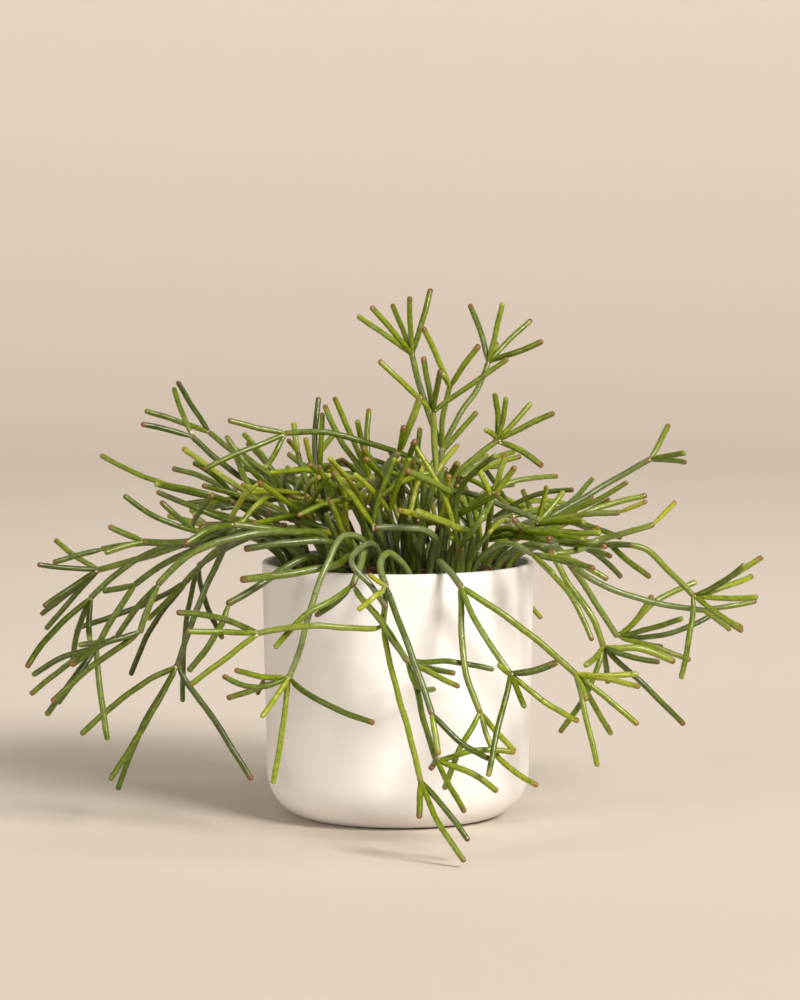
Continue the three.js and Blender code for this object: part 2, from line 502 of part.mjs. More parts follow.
// The straight middle line from ring to ring of one stem
class StemPath extends THREE.Curve {
  constructor(places) {
    super();
    this.places = places;
  }
  getPoint(t, target = new THREE.Vector3()) {
    const last = this.places.length - 1;
    const i = Math.min(Math.floor(t * last), last - 1);
    return target.lerpVectors(this.places[i], this.places[i + 1], t * last - i);
  }
  getUtoTmapping(u) {
    return u;
  }
}

const placeOf = (index) => new THREE.Vector3(rings[index].x, rings[index].y, rings[index].z);

function stemSolid({ radius, chain, before }) {
  const places = chain.map(placeOf);
  if (before !== null) {
    const bearer = stems[before].chain;
    const joint = placeOf(bearer[bearer.length - 1]);
    const back = placeOf(bearer[bearer.length - 2]).sub(joint).setLength(SINK * radius);
    places[0] = joint.add(back);
  }
  const tip = places[places.length - 1];
  const shoulder = places[places.length - 2].clone().sub(tip).setLength(TIP_ROUND * radius).add(tip);
  places.splice(places.length - 1, 0, shoulder);
  const section = new THREE.Shape(
    Array.from({ length: STEM_SIDES }, (_, i) => {
      const turn = (2 * Math.PI * i) / STEM_SIDES;
      return new THREE.Vector2(radius * Math.cos(turn), radius * Math.sin(turn));
    }),
  );
  const extrudePath = new StemPath(places);
  const options = { steps: places.length - 1, extrudePath, bevelEnabled: false };
  const geometry = closed(new THREE.ExtrudeGeometry(section, options));
  const position = geometry.attributes.position;
  const point = new THREE.Vector3();
  for (let i = 0; i < position.count; i++) {
    point.fromBufferAttribute(position, i);
    if (point.distanceTo(tip) > TIP_REACH * radius) continue;
    point.lerp(tip, 1 - TIP_SHARE);
    position.setXYZ(i, point.x, point.y, point.z);
  }
  return solid(geometry);
}

// The pot
const taper = (POT_RIM_RADIUS - POT_FOOT_RADIUS) / POT_HEIGHT;
const sideAt = (height) => POT_FOOT_RADIUS + taper * height;

// The quarter circle from the flat foot up to the side
function roundedFoot(radius, floor, inset, count) {
  const side = sideAt(floor + radius) - inset;
  return Array.from({ length: count + 1 }, (_, i) => {
    const turn = ((i / count) * Math.PI) / 2;
    return [side - radius + radius * Math.sin(turn), floor + radius - radius * Math.cos(turn)];
  });
}

function rimProfile() {
  const outer = POT_RIM_RADIUS;
  const inner = POT_RIM_RADIUS - POT_WALL;
  const top = POT_HEIGHT;
  const edge = POT_RIM_ROUND;
  return [
    [outer, top - edge],
    [outer - EDGE_BOW * edge, top - EDGE_BOW * edge],
    [outer - edge, top],
    [inner + edge, top],
    [inner, top - edge],
  ];
}

function potGeometry() {
  const innerRound = POT_FOOT_ROUND - POT_WALL;
  const outside = roundedFoot(POT_FOOT_ROUND, 0, 0, FOOT_STEPS);
  const inside = roundedFoot(innerRound, POT_FLOOR, POT_WALL, FOOT_STEPS / 2).reverse();
  return turned([[0, 0], ...outside, ...rimProfile(), ...inside, [0, POT_FLOOR]], POT_SIDES);
}

// The potting mix, with a plain hole for each stem that stands in it
function soilGeometry() {
  const floor = POT_FLOOR + FIT_GAP;
  const inset = POT_WALL + FIT_GAP;
  const foot = roundedFoot(POT_FOOT_ROUND - POT_WALL, floor, inset, FOOT_STEPS / 2);
  const profile = [[0, floor], ...foot, [sideAt(SOIL_TOP) - inset, SOIL_TOP], [0, SOIL_TOP + SOIL_CROWN]];
  let mix = solid(turned(profile, POT_SIDES));
  for (const { radius, chain, before } of stems) {
    if (before !== null) continue;
    const { x, y } = rings[chain[0]];
    const reach = (radius + HOLE_EASE) / Math.cos(Math.PI / HOLE_SIDES);
    const height = POT_HEIGHT - HOLE_FLOOR;
    const hole = new THREE.CylinderGeometry(reach, reach, height, HOLE_SIDES).rotateX(Math.PI / 2);
    mix = mix.subtract(solid(closed(hole.translate(x, y, HOLE_FLOOR + height / 2))));
  }
  return geometryOf(evened(mix));
}

// The whole
const POT_WHITE = new THREE.MeshStandardMaterial({ color: 0xe9e5e1, roughness: 0.45, metalness: 0 });
const SOIL_BROWN = new THREE.MeshStandardMaterial({ color: 0x3b2a1e, roughness: 0.95, metalness: 0 });
const STEM_GREEN = new THREE.MeshStandardMaterial({ color: 0x7c9136, roughness: 0.5, metalness: 0 });

const plant = new THREE.Group();

function addPiece(name, geometry, material) {
  const mesh = new THREE.Mesh(geometry, material);
  mesh.name = name;
  plant.add(mesh);
}

addPiece("pot", potGeometry(), POT_WHITE);
addPiece("soil", soilGeometry(), SOIL_BROWN);
shootNames.forEach((name, shoot) => {
  const parts = stems.filter((stem) => stem.shoot === shoot).map(stemSolid);
  const whole = parts.reduce((joined, part) => joined.add(part));
  addPiece("stems_" + name, geometryOf(evened(whole)), STEM_GREEN);
});

export default plant;
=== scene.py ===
import math

import bmesh
import bpy
import numpy as np
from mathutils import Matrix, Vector


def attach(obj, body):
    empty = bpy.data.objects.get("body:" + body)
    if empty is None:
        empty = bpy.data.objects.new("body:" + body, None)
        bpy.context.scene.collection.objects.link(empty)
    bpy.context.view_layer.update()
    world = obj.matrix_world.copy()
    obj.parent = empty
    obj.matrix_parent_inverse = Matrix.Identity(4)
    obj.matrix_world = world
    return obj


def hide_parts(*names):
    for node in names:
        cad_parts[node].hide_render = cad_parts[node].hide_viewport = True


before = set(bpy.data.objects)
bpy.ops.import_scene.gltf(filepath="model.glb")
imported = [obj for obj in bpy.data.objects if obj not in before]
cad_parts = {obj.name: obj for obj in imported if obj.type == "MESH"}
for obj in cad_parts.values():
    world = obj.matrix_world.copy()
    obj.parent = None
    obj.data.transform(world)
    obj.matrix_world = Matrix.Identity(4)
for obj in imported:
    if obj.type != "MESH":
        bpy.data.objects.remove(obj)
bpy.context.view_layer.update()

# A potted rhipsalis: fine stems, mix and pot in place of the plain solids of the frame. Every length is in
# millimetres until a mesh is made. Seen from the front, the eye looks along +Y with +X on the right.
MM = 0.001

# The pot, as in the part's source
POT_HEIGHT = 133
POT_RIM_RADIUS = 70.5
POT_FOOT_RADIUS = 67.5  # where the tapered side would meet the ground
POT_FOOT_ROUND = 24
POT_WALL = 3.2
POT_FLOOR = 5
POT_RIM_ROUND = 1.2
POT_SIDES = 160
FOOT_STEPS = 18
RIM_STEPS = 5
SIDE_STEP = 9  # between the rings of the plain side

# The potting mix
SOIL_TOP = 126
SOIL_CROWN = 0.8
FIT_GAP = 0.3
SOIL_SIDES = 120
SOIL_RINGS = 44
SOIL_ROUGH = 1.5  # about how far the bed's bumps rise and fall in all
HOLE_FLOOR = 114
ROOT_TOP = 130.5

# The stems' middle lines, as in the part's source
BOW_FROM = 34
BOW = 0.07
GROUND_GAP = 0.5
CLEAR_GAP = 0.7
CLEAR_PASSES = 160
CLEAR_STEP = 0.02
PARALLEL = 1e-9
LEAST_HOLD = 0.05
EYE_DISTANCE = 2500
EYE_HEIGHT = 387

# Each shoot: its name, where its root stands in the mix (across, toward the eye), and its first stem. A stem
# is its diameter, unless that is SLIM, then the places it passes (across, up, toward the eye), then the stems
# that grow from its end.
SLIM = 2.9
SHOOTS = [
    ["crown", (20, 8), [3.5, (23, 149, 10), (22, 165, 9), (23, 192, 8), [3.2, (16, 209, 4), (12, 221, 2),
     (7, 241, 0), [(-21, 260, -12)], [(-14, 265, 14)], [(-3, 266, -18)], [(6, 270, 12)], [(12, 255, 2),
     (17, 274, -4)]], [3, (23, 206, 13), (27, 224, 18), [(13, 254, 28)], [(42, 245, 30)], [(23, 230, 30)]],
     [3, (32, 209, 2), (42, 224, -4), (47, 237, -8), [(37, 266, -20)], [(54, 267, -4)], [(69, 258, -20)],
     [(61, 241, 0), (75, 247, 6)], [(51, 246, -22)]]]],
    ["crown_front", (10, 26), [3.2, (20, 180, 34), [2.7, (31, 193, 22)], [(6, 176, 40), (-8, 167, 40)],
     [3.2, (19, 193, 38), (18, 211, 42), [(-10, 237, 54)], [(13, 239, 42)], [(22, 232, 58)], [(30, 219, 46),
     (43, 228, 50), (57, 238, 52)]]]],
    ["front_thick", (-6, 24), [3.8, (-10, 175, 40), (1, 190, 52), [3.8, (12, 219, 66)], [(3, 203, 66)]]],
    ["upper_right", (33, 12), [3.3, (26, 175, 20), [3.6, (31, 184, 36)], [3.2, (43, 189, 22), (52, 196, 22),
     [(50, 220, 8)], [(56, 218, 30)], [(69, 215, 14)], [(81, 210, 30)], [3.2, (75, 182, 36)],
     [(45, 201, 34)]]]],
    ["right_front_up", (30, 34), [3.6, (32, 141, 44), [3.3, (43, 157, 52), (49, 166, 54),
     [3.2, (61, 182, 62)], [3.2, (56, 189, 50)], [(41, 182, 46)]], [3, (30, 162, 60), (51, 188, 76)],
     [2.7, (24, 166, 52), (7, 195, 50)]]],
    ["middle_left_a", (-8, 8), [3.2, (-12, 155, 8), (-15, 176, 8), [(-16, 195, 2), (-15, 212, -6)],
     [(-33, 218, 12)], [(-30, 196, -4), (-38, 214, -12)], [(-21, 206, 22)], [(-27, 170, 26),
     (-35, 184, 34)]]],
    ["middle_left_b", (-22, -6), [3, (-36, 148, -8), (-41, 168, -10), [(-43, 190, -16), (-41, 218, -24)],
     [(-39, 210, 0)], [2.7, (-48, 197, -2)]]],
    ["middle_left_c", (-20, 10), [3, (-30, 143, 12), (-37, 156, 14), [3, (-47, 173, 14), (-52, 190, 14),
     [(-54, 205, 8)], [2.7, (-57, 196, 22)]]]],
    ["left_up_a", (-34, -14), [3, (-48, 150, -18), (-58, 165, -22), [(-92, 160, -6)], [2.7, (-43, 163, -34),
     (-22, 172, -44)], [(-69, 186, -30), (-80, 199, -40)], [(-76, 180, -14), (-89, 198, -16)]]],
    ["arch_left", (4, -6), [3.3, (13, 165, 2), (14, 183, 6), [3.2, (-15, 194, 22), (-41, 200, 30),
     (-59, 199, 32), [(-88, 206, 40)], [(-72, 193, 38), (-85, 188, 44), (-101, 180, 50)], [(-64, 188, 38),
     (-69, 181, 48)]]]],
    ["left_up_b", (-38, -30), [3.2, (-56, 166, -46), [3, (-72, 180, -58), (-87, 191, -68), (-98, 200, -74),
     [(-114, 226, -92)], [(-131, 211, -72)]], [3, (-82, 177, -48), (-107, 198, -52), [(-133, 204, -44)],
     [(-116, 223, -64)]]]],
    ["left_up_c", (-46, -2), [3, (-66, 155, -8), (-84, 166, -12), [(-100, 176, -20), (-117, 181, -26)],
     [(-96, 178, 0), (-106, 184, 6)]]],
    ["left_long", (-46, 12), [(-70, 152, 16), (-87, 164, 18), [2.7, (-103, 169, 20), (-121, 173, 16),
     (-139, 180, 12), (-154, 188, 8)], [(-110, 169, 34), (-126, 173, 44)]]],
    ["left_middle", (-47, 26), [3.2, (-68, 147, 34), (-84, 151, 38), [(-104, 160, 34), (-125, 169, 28)],
     [3, (-104, 148, 48), [(-124, 155, 56), (-142, 167, 62)], [(-112, 154, 42), (-123, 164, 40)]]]],
    ["left_thick", (-30, 28), [3.5, (-38, 143, 36), (-62, 149, 58), (-86, 152, 70), [3.5, (-108, 143, 70),
     (-133, 143, 68), [3, (-150, 151, 62)], [3, (-152, 137, 78)]], [3.2, (-98, 149, 82), (-111, 141, 90)]]],
    ["far_left_a", (-54, -18), [3.2, (-75, 146, -26), (-95, 145, -32), (-134, 134, -40), (-156, 128, -42),
     [(-178, 144, -58)], [(-187, 131, -30)], [(-184, 109, -26)], [(-183, 97, -48)], [(-185, 105, -72)]]],
    ["far_left_b", (-58, -4), [3.2, (-78, 146, -4), (-108, 141, -6), (-134, 142, -6), (-154, 139, -4),
     [(-179, 132, 4)]]],
    ["far_left_c", (-58, 9), [3.2, (-76, 145, 16), (-100, 143, 20), (-124, 139, 22), (-155, 118, 22),
     (-160, 113, 22), [3, (-166, 97, 14), (-169, 80, 10)], [(-160, 91, 34)], [3, (-176, 99, 28),
     (-185, 89, 30), (-193, 77, 34)]]],
    ["far_left_low", (-46, 38), [3.3, (-68, 146, 52), (-95, 142, 60), (-120, 132, 64), (-137, 120, 66),
     [(-153, 117, 78)], [3.2, (-146, 106, 66), (-157, 87, 64), [(-173, 83, 62), (-190, 73, 58)],
     [3, (-177, 58, 76)], [3, (-183, 52, 50)], [3, (-154, 60, 70), (-151, 39, 74)]]]],
    ["left_front_low", (-34, 49), [3.3, (-38, 145, 56), (-54, 148, 72), (-80, 146, 86), (-108, 136, 94),
     (-125, 120, 96), [3.2, (-130, 107, 98), (-134, 95, 98), [3, (-152, 90, 104), (-170, 78, 108)],
     [(-166, 89, 90)], [3, (-160, 77, 94), (-180, 59, 94)]], [3, (-138, 105, 86), (-146, 93, 84),
     [(-171, 79, 78), (-191, 63, 72)]]]],
    ["left_back_low", (-48, -34), [3.2, (-52, 144, -40), (-68, 149, -58), (-92, 140, -78), (-110, 122, -92),
     [3, (-130, 111, -104), (-166, 98, -112)], [(-130, 102, -82)], [3, (-128, 98, -106), (-139, 73, -112)]]],
    ["left_hang", (-54, 19), [3.3, (-72, 149, 30), (-83, 151, 38), (-92, 135, 44), (-100, 118, 46),
     (-106, 103, 46), (-115, 77, 46), [3, (-129, 71, 44), (-147, 58, 42), (-165, 42, 38)],
     [3, (-130, 50, 56), (-150, 18, 64)], [(-133, 46, 32), (-146, 13, 22)], [3, (-97, 52, 54),
     (-76, 18, 62)]]],
    ["left_back_hang", (-40, -44), [3.2, (-44, 144, -50), (-60, 149, -66), (-82, 143, -88),
     (-104, 130, -102), [3, (-108, 112, -108), (-112, 59, -114)], [(-119, 110, -92)], [(-100, 112, -122),
     (-91, 92, -130)]]],
    ["left_rim", (-36, 38), [3.6, (-45, 135, 50), (-59, 129, 60), (-72, 120, 70), (-89, 110, 78),
     [3, (-91, 101, 82), (-98, 89, 84), (-109, 75, 84)]]],
    ["rim_left_a", (-22, 40), [3.6, (-24, 137, 52), [3.6, (-32, 131, 68), (-51, 127, 78), (-82, 123, 84)],
     [3.5, (-36, 143, 60), (-51, 143, 66), (-80, 139, 74)]]],
    ["rim_left_b", (-18, 26), [3.5, (-26, 146, 32), [3.5, (-51, 148, 46), (-75, 145, 54)],
     [3.2, (-40, 151, 30), (-68, 158, 24)]]],
    ["front_left_hang", (-20, 54), [3.3, (-17, 142, 62), (-28, 146, 70), (-36, 133, 80), (-42, 118, 86),
     (-47, 102, 90), (-51, 86, 92), (-57, 71, 94), [(-85, 76, 92)], [(-77, 67, 106), (-91, 73, 112)],
     [(-89, 61, 84)], [(-71, 51, 110)], [3, (-60, 45, 98), (-65, 16, 98)], [3, (-41, 60, 108),
     (-12, 48, 118)]]],
    ["front_middle_left", (-8, 38), [3.6, (-17, 139, 64), (-21, 126, 82), (-24, 119, 86),
     [3.2, (-35, 112, 96), (-46, 106, 102), (-64, 87, 108)], [3, (-34, 110, 80), (-43, 104, 80)],
     [3.2, (-9, 102, 98), (5, 81, 104), [(30, 74, 112)], [(28, 80, 98), (50, 76, 92)], [(32, 67, 124)],
     [(9, 70, 98), (19, 66, 90)]]]],
    ["front_hook", (-7, 50), [3.2, (-14, 142, 72), (-24, 132, 92), (-13, 118, 100), (-6, 108, 104)]],
    ["front_trail", (6, 56), [3.8, (-5, 137, 68), (-9, 132, 80), (-6, 119, 90), [2.5, (-15, 126, 104)],
     [2.5, (-14, 113, 112), (-21, 107, 116)], [3.2, (4, 92, 116), (11, 73, 122), (18, 52, 128),
     [3, (21, 31, 134)], [3, (34, 37, 130), (48, 29, 126)]], [3.3, (-7, 108, 94), (-8, 97, 98),
     [3.2, (-25, 98, 106), (-46, 99, 112), (-73, 95, 108), [3, (-92, 103, 102), (-115, 106, 96)],
     [3, (-110, 96, 116)], [3, (-92, 80, 106), (-108, 68, 102)]], [3.2, (-2, 71, 112), (6, 42, 130),
     (12, 17, 146), [3, (11, -2, 158)], [3, (24, 4, 152), (37, -14, 158)], [3, (20, -2, 160),
     (35, -25, 170)]], [3.2, (5, 79, 104), (14, 47, 114), (20, 28, 122), [3, (40, 34, 118), (61, 33, 110)],
     [3, (38, 22, 124), (52, 12, 122)], [3, (35, 1, 138)], [(17, 24, 132)]]]]],
    ["front_right", (21, 50), [3.6, (22, 132, 64), (27, 127, 74), (33, 119, 82), [3.2, (33, 97, 92),
     (35, 76, 98), (43, 53, 104), [3, (32, 34, 110), (24, 13, 112)], [3, (50, 33, 112), (73, 15, 118)],
     [3, (61, 33, 98)]], [3.2, (40, 102, 98), (48, 89, 104), (59, 73, 108), [(52, 79, 118)],
     [3.6, (83, 80, 116)], [3, (66, 56, 120)], [3, (78, 58, 110), (94, 49, 104)], [3, (52, 46, 122),
     (47, 20, 132)]], [3.2, (53, 106, 84), (74, 90, 82), (93, 73, 80), [(125, 74, 76)], [3, (110, 71, 92),
     (126, 67, 98)], [3, (98, 50, 86), (104, 25, 90)], [3, (111, 42, 68)], [3, (110, 60, 78), (125, 47, 80)],
     [(98, 60, 98)]]]],
    ["front_stub", (16, 38), [3.5, (19, 145, 52), (-13, 150, 66)]],
    ["right_up", (46, -8), [3.2, (60, 143, -12), (76, 154, -18), [3.2, (100, 168, -28), (115, 177, -34),
     (131, 186, -38), [(140, 204, -52)], [(149, 189, -26)], [(149, 184, -56)]], [(90, 164, -34),
     (101, 176, -46)], [(98, 162, -10), (119, 174, -2)]]],
    ["right_middle", (46, 6), [3, (62, 146, 10), (72, 152, 12), [2.7, (77, 172, 24)], [(86, 169, 0)],
     [(94, 157, 14), [(112, 163, 6), (129, 167, 2)], [(115, 158, 24), [2.5, (129, 164, 32)]]],
     [(97, 153, 34)]]],
    ["right_dark", (22, 22), [3.1, (25, 150, 26), (26, 168, 30), (43, 166, 40), (53, 162, 44),
     (74, 154, 50)]],
    ["right_arch", (36, 24), [3.5, (39, 147, 36), [3.5, (34, 163, 50), (24, 170, 60), (4, 180, 72)],
     [3.5, (31, 150, 66), (9, 159, 82)]]],
    ["right_low", (50, 28), [3.3, (66, 141, 38), (80, 137, 46), [3.2, (92, 138, 46), (105, 143, 44),
     (120, 148, 42), (133, 152, 42), [2.5, (144, 164, 40)]], [3.2, (89, 120, 54), (100, 105, 58),
     (107, 87, 60), [(97, 78, 74)], [3, (100, 68, 66), (84, 43, 70)], [3, (109, 69, 48)], [3, (136, 80, 74)],
     [3.6, (126, 87, 58), (144, 80, 54)], [3, (130, 66, 62), (149, 47, 58)]]]],
    ["far_right_a", (57, 12), [3.2, (74, 144, 16), (92, 143, 18), (110, 142, 20), [(114, 137, 30),
     (131, 124, 38)], [3.2, (128, 139, 16), (141, 127, 12), (154, 114, 10), [3, (151, 92, 16),
     (147, 71, 20)], [(179, 96, 24)], [(184, 125, -8)], [(187, 114, 14)], [(173, 125, 0), (189, 135, 2)],
     [(180, 131, 22)]]]],
    ["far_right_b", (58, -6), [3.2, (78, 141, -12), (99, 124, -20), (126, 113, -24), (159, 107, -26),
     [(179, 98, -14)], [(186, 112, -34)], [(172, 97, -48)]]],
    ["right_back", (46, -30), [3.3, (64, 147, -44), (84, 136, -56), (105, 107, -64), (114, 93, -66),
     [3, (134, 112, -76), (155, 122, -84)], [(132, 115, -58)], [(148, 103, -58)], [3, (136, 94, -80),
     (152, 99, -90), (165, 106, -98)], [(137, 88, -92)], [3, (133, 88, -62), (152, 81, -64)]]],
    ["right_tips", (52, -18), [3, (70, 147, -28), (92, 142, -40), [(111, 135, -34)], [(106, 134, -52),
     (116, 124, -58)], [2.7, (104, 151, -34)], [(102, 139, -60)]]],
    ["right_front_tips", (38, 44), [3, (58, 142, 62), (70, 136, 70), [(90, 133, 74), (109, 123, 74)],
     [(102, 129, 88)], [(81, 126, 88)], [(90, 114, 80), (101, 91, 86)]]],
]

# The shoots at the back, which grow by one rule: where the root stands [across, toward the eye], where the
# stem forks [across, height, away], and how steeply its ends rise, in radians.
BACK_SHOOTS = [
  [[30, -20], [50, 150, 56], 0.1],
  [[14, -20], [24, 162, 40], 0.3],
  [[-2, -20], [-6, 162, 44], 0.3],
  [[-20, -22], [-34, 154, 52], 0.25],
  [[36, -38], [64, 142, 92], -0.1],
  [[20, -34], [34, 150, 92], 0.1],
  [[5, -36], [4, 156, 96], 0.15],
  [[-10, -36], [-28, 151, 98], 0.1],
  [[-26, -36], [-58, 146, 86], 0.05],
  [[26, -51], [46, 118, 112], -0.9],
  [[9, -55], [14, 104, 122], -1.1],
  [[-8, -55], [-18, 112, 116], -0.9],
  [[-24, -52], [-46, 100, 108], -1.1],
]
# The thickets in the middle, which grow by the same rule from one forked stem: its name, where its root
# stands, where it forks [across, height, away], and for each arm the same as for the shoots above.
THICKETS = [
  ["inner_left", [-34, 4], [-42, 144, -2], [
    [[-62, 151, -14], 0.25], [[-72, 163, 10], 0.3], [[-55, 166, 32], 0.4], [[-80, 148, 0], 0.1],
    [[-48, 160, -38], 0.5]]],
  ["inner_middle", [8, 12], [4, 146, -12], [
    [[-18, 162, -22], 0.5], [[0, 168, -34], 0.7], [[22, 156, -40], 0.4], [[8, 170, 10], 0.7]]],
  ["inner_right", [36, -4], [44, 144, 2], [
    [[64, 150, -18], 0.2], [[70, 143, 27], 0.2], [[60, 153, 34], 0.2], [[80, 145, -34], 0.1]]],
]
ARM_DIAMETER = 3
ARM_STEMS = 3
ARM_LENGTH = [32, 54]
ARM_ARCH = 3

BACK_STEMS = 4
BACK_MAIN_DIAMETER = 3.2
BACK_STEM_DIAMETER = 2.9
BACK_OVER_RIM = 149
BACK_PAST_RIM = 12
BACK_LENGTH = [42, 66]
BACK_SPREAD = 1.15
BACK_LIFT_SPREAD = 0.5
BACK_ARCH = 0.1
FAN_MOST_ACROSS = 120
BACK_LEAST_HEIGHT = 9


class Draws:
    """Repeatable draws between 0 and 1, the same as in the part's source."""

    FACTOR = 16807
    MODULUS = 2147483647

    def __init__(self, start):
        self.drawn = start

    def __call__(self):
        self.drawn = self.drawn * self.FACTOR % self.MODULUS
        return self.drawn / self.MODULUS


class Skeleton:
    """The middle lines of the stems. A ring is a place on one, and stems that meet share the joint's ring."""

    def __init__(self):
        self.rings = []  # [x, y, z, fixed]
        self.stems = []
        self.draw = Draws(20317)

    def add_ring(self, place, fixed=False):
        self.rings.append([*place, fixed])
        return len(self.rings) - 1

    def add_stem(self, shoot, radius, chain, before, extra=False):
        """A stem through the rings of its chain, on the stem before it. Only the scene has the extra ones."""
        index = len(self.stems)
        stem = {"shoot": shoot, "radius": radius, "chain": chain, "before": before}
        self.stems.append({**stem, "index": index, "extra": extra, "bears": False})
        if before is not None:
            self.stems[before]["bears"] = True
        return index

    def place(self, ring):
        return np.array(self.rings[ring][:3], float)

    def end(self, stem):
        """Where a stem ends, and the way it points there."""
        back, joint = (self.place(ring) for ring in stem["chain"][-2:])
        return joint, unit(joint - back)

    def root_rings(self, root):
        across, toward = root
        return [self.add_ring((across, -toward, z), True) for z in (HOLE_FLOOR + FIT_GAP, ROOT_TOP)]

    def bow_ring(self, start, tip):
        """A long stem that is given by its tip alone bends a little toward the eye or away from it."""
        length = math.dist(start[:3], tip)
        if length <= BOW_FROM:
            return []
        bend = BOW * length * (-1 if self.draw() < 0.5 else 1)
        middle = [(start[k] + tip[k]) / 2 for k in range(3)]
        return [self.add_ring((middle[0], middle[1] + bend, middle[2]))]

    def grow_stem(self, shoot, stem, start, before):
        diameter, *parts = (SLIM, *stem) if isinstance(stem[0], tuple) else stem
        radius = diameter / 2
        seen = [in_sight(part, radius) for part in parts if isinstance(part, tuple)]
        bow = []
        if len(seen) == 1 and before is not None:
            bow = self.bow_ring(self.rings[start[0]], seen[0])
        chain = start + bow + [self.add_ring(place) for place in seen]
        this = self.add_stem(shoot, radius, chain, before)
        for part in parts:
            if isinstance(part, list):
                self.grow_stem(shoot, part, chain[-1:], this)

    def grow_back_shoot(self, shoot, root, joint, rise):
        across, height, away = joint
        reach = math.hypot(across, away)
        out_x, out_y = across / reach, away / reach
        mid_x = (root[0] + out_x * POT_RIM_RADIUS) / 2
        mid_y = (-root[1] + out_y * POT_RIM_RADIUS) / 2
        past = POT_RIM_RADIUS + BACK_PAST_RIM
        if height < BACK_OVER_RIM:
            places = [(mid_x, mid_y, BACK_OVER_RIM - BACK_MAIN_DIAMETER)]
            places.append((out_x * past, out_y * past, BACK_OVER_RIM))
        else:
            places = [(mid_x, mid_y, (BACK_OVER_RIM + height) / 2)]
        places.append((across, away, height))
        chain = self.root_rings(root) + [self.add_ring(place) for place in places]
        this = self.add_stem(shoot, BACK_MAIN_DIAMETER / 2, chain, None)
        for i in range(BACK_STEMS):
            share = (i + self.draw()) / BACK_STEMS
            tip, flat = self.fan_tip(joint, (out_x, out_y), rise, share, BACK_LENGTH)
            middle = ((across + tip[0]) / 2, (away + tip[1]) / 2, (height + tip[2]) / 2 + BACK_ARCH * flat)
            ends = [chain[-1], self.add_ring(middle), self.add_ring(tip)]
            self.add_stem(shoot, BACK_STEM_DIAMETER / 2, ends, this)

    def fan_tip(self, joint, out, rise, share, lengths):
        """The tip of one stem of the fan at a joint, and how far out it lies."""
        across, height, away = joint
        turn = BACK_SPREAD * (2 * share - 1)
        length = lengths[0] + (lengths[1] - lengths[0]) * self.draw()
        lift = rise + BACK_LIFT_SPREAD * (self.draw() - 0.5)
        flat = math.cos(lift) * length
        tip_x = across + (out[0] * math.cos(turn) - out[1] * math.sin(turn)) * flat
        tip = (
            max(-FAN_MOST_ACROSS, min(FAN_MOST_ACROSS, tip_x)),
            away + (out[1] * math.cos(turn) + out[0] * math.sin(turn)) * flat,
            max(BACK_LEAST_HEIGHT, height + math.sin(lift) * length),
        )
        return tip, flat

    def grow_thicket(self, shoot, root, fork, arms):
        fork_x, fork_height, fork_y = fork
        trunk_chain = self.root_rings(root) + [self.add_ring((fork_x, fork_y, fork_height))]
        trunk = self.add_stem(shoot, BACK_MAIN_DIAMETER / 2, trunk_chain, None)
        for (across, height, away), rise in arms:
            reach = math.hypot(across - fork_x, away - fork_y)
            out = ((across - fork_x) / reach, (away - fork_y) / reach)
            middle = ((across + fork_x) / 2, (away + fork_y) / 2, (height + fork_height) / 2 + ARM_ARCH)
            chain = [trunk_chain[-1], self.add_ring(middle), self.add_ring((across, away, height))]
            arm = self.add_stem(shoot, ARM_DIAMETER / 2, chain, trunk)
            for i in range(ARM_STEMS):
                share = (i + self.draw()) / ARM_STEMS
                tip, _ = self.fan_tip((across, height, away), out, rise, share, ARM_LENGTH)
                self.add_stem(shoot, BACK_STEM_DIAMETER / 2, [chain[-1], self.add_ring(tip)], arm)

    def sticks(self):
        """The straight stretches of all stems, from ring to ring: [shoot, radius, ring, ring]."""
        return [
            (stem["shoot"], stem["radius"], self.rings[a], self.rings[b])
            for stem in self.stems
            for a, b in zip(stem["chain"], stem["chain"][1:])
        ]

    def clear(self):
        """Bends stems of different shoots that would cross clear of each other, along the line of sight."""
        sticks = self.sticks()
        pairs = []
        for i, p in enumerate(sticks):
            pairs += [(p, q) for q in sticks[i + 1 :] if p[0] != q[0] and may_meet(p, q)]
        for _ in range(CLEAR_PASSES):
            moved = False
            for p, q in pairs:
                moved = part_pair(p, q) or moved
            if not moved:
                return


def in_sight(place, radius):
    across, up, toward = place
    share = (EYE_DISTANCE - toward) / EYE_DISTANCE
    height = EYE_HEIGHT + (up - EYE_HEIGHT) * share
    return (across * share, -toward, max(height, radius + GROUND_GAP))


def may_meet(p, q):
    """Whether two sticks can meet when they move along the line of sight."""
    reach = p[1] + q[1] + CLEAR_GAP
    return not any(apart(*p[2:], *q[2:], k, reach) for k in (0, 2))


def apart(a, b, c, d, k, reach):
    """Whether stick ab and stick cd lie further from each other than reach, along axis k."""
    return min(a[k], b[k]) > max(c[k], d[k]) + reach or min(c[k], d[k]) > max(a[k], b[k]) + reach


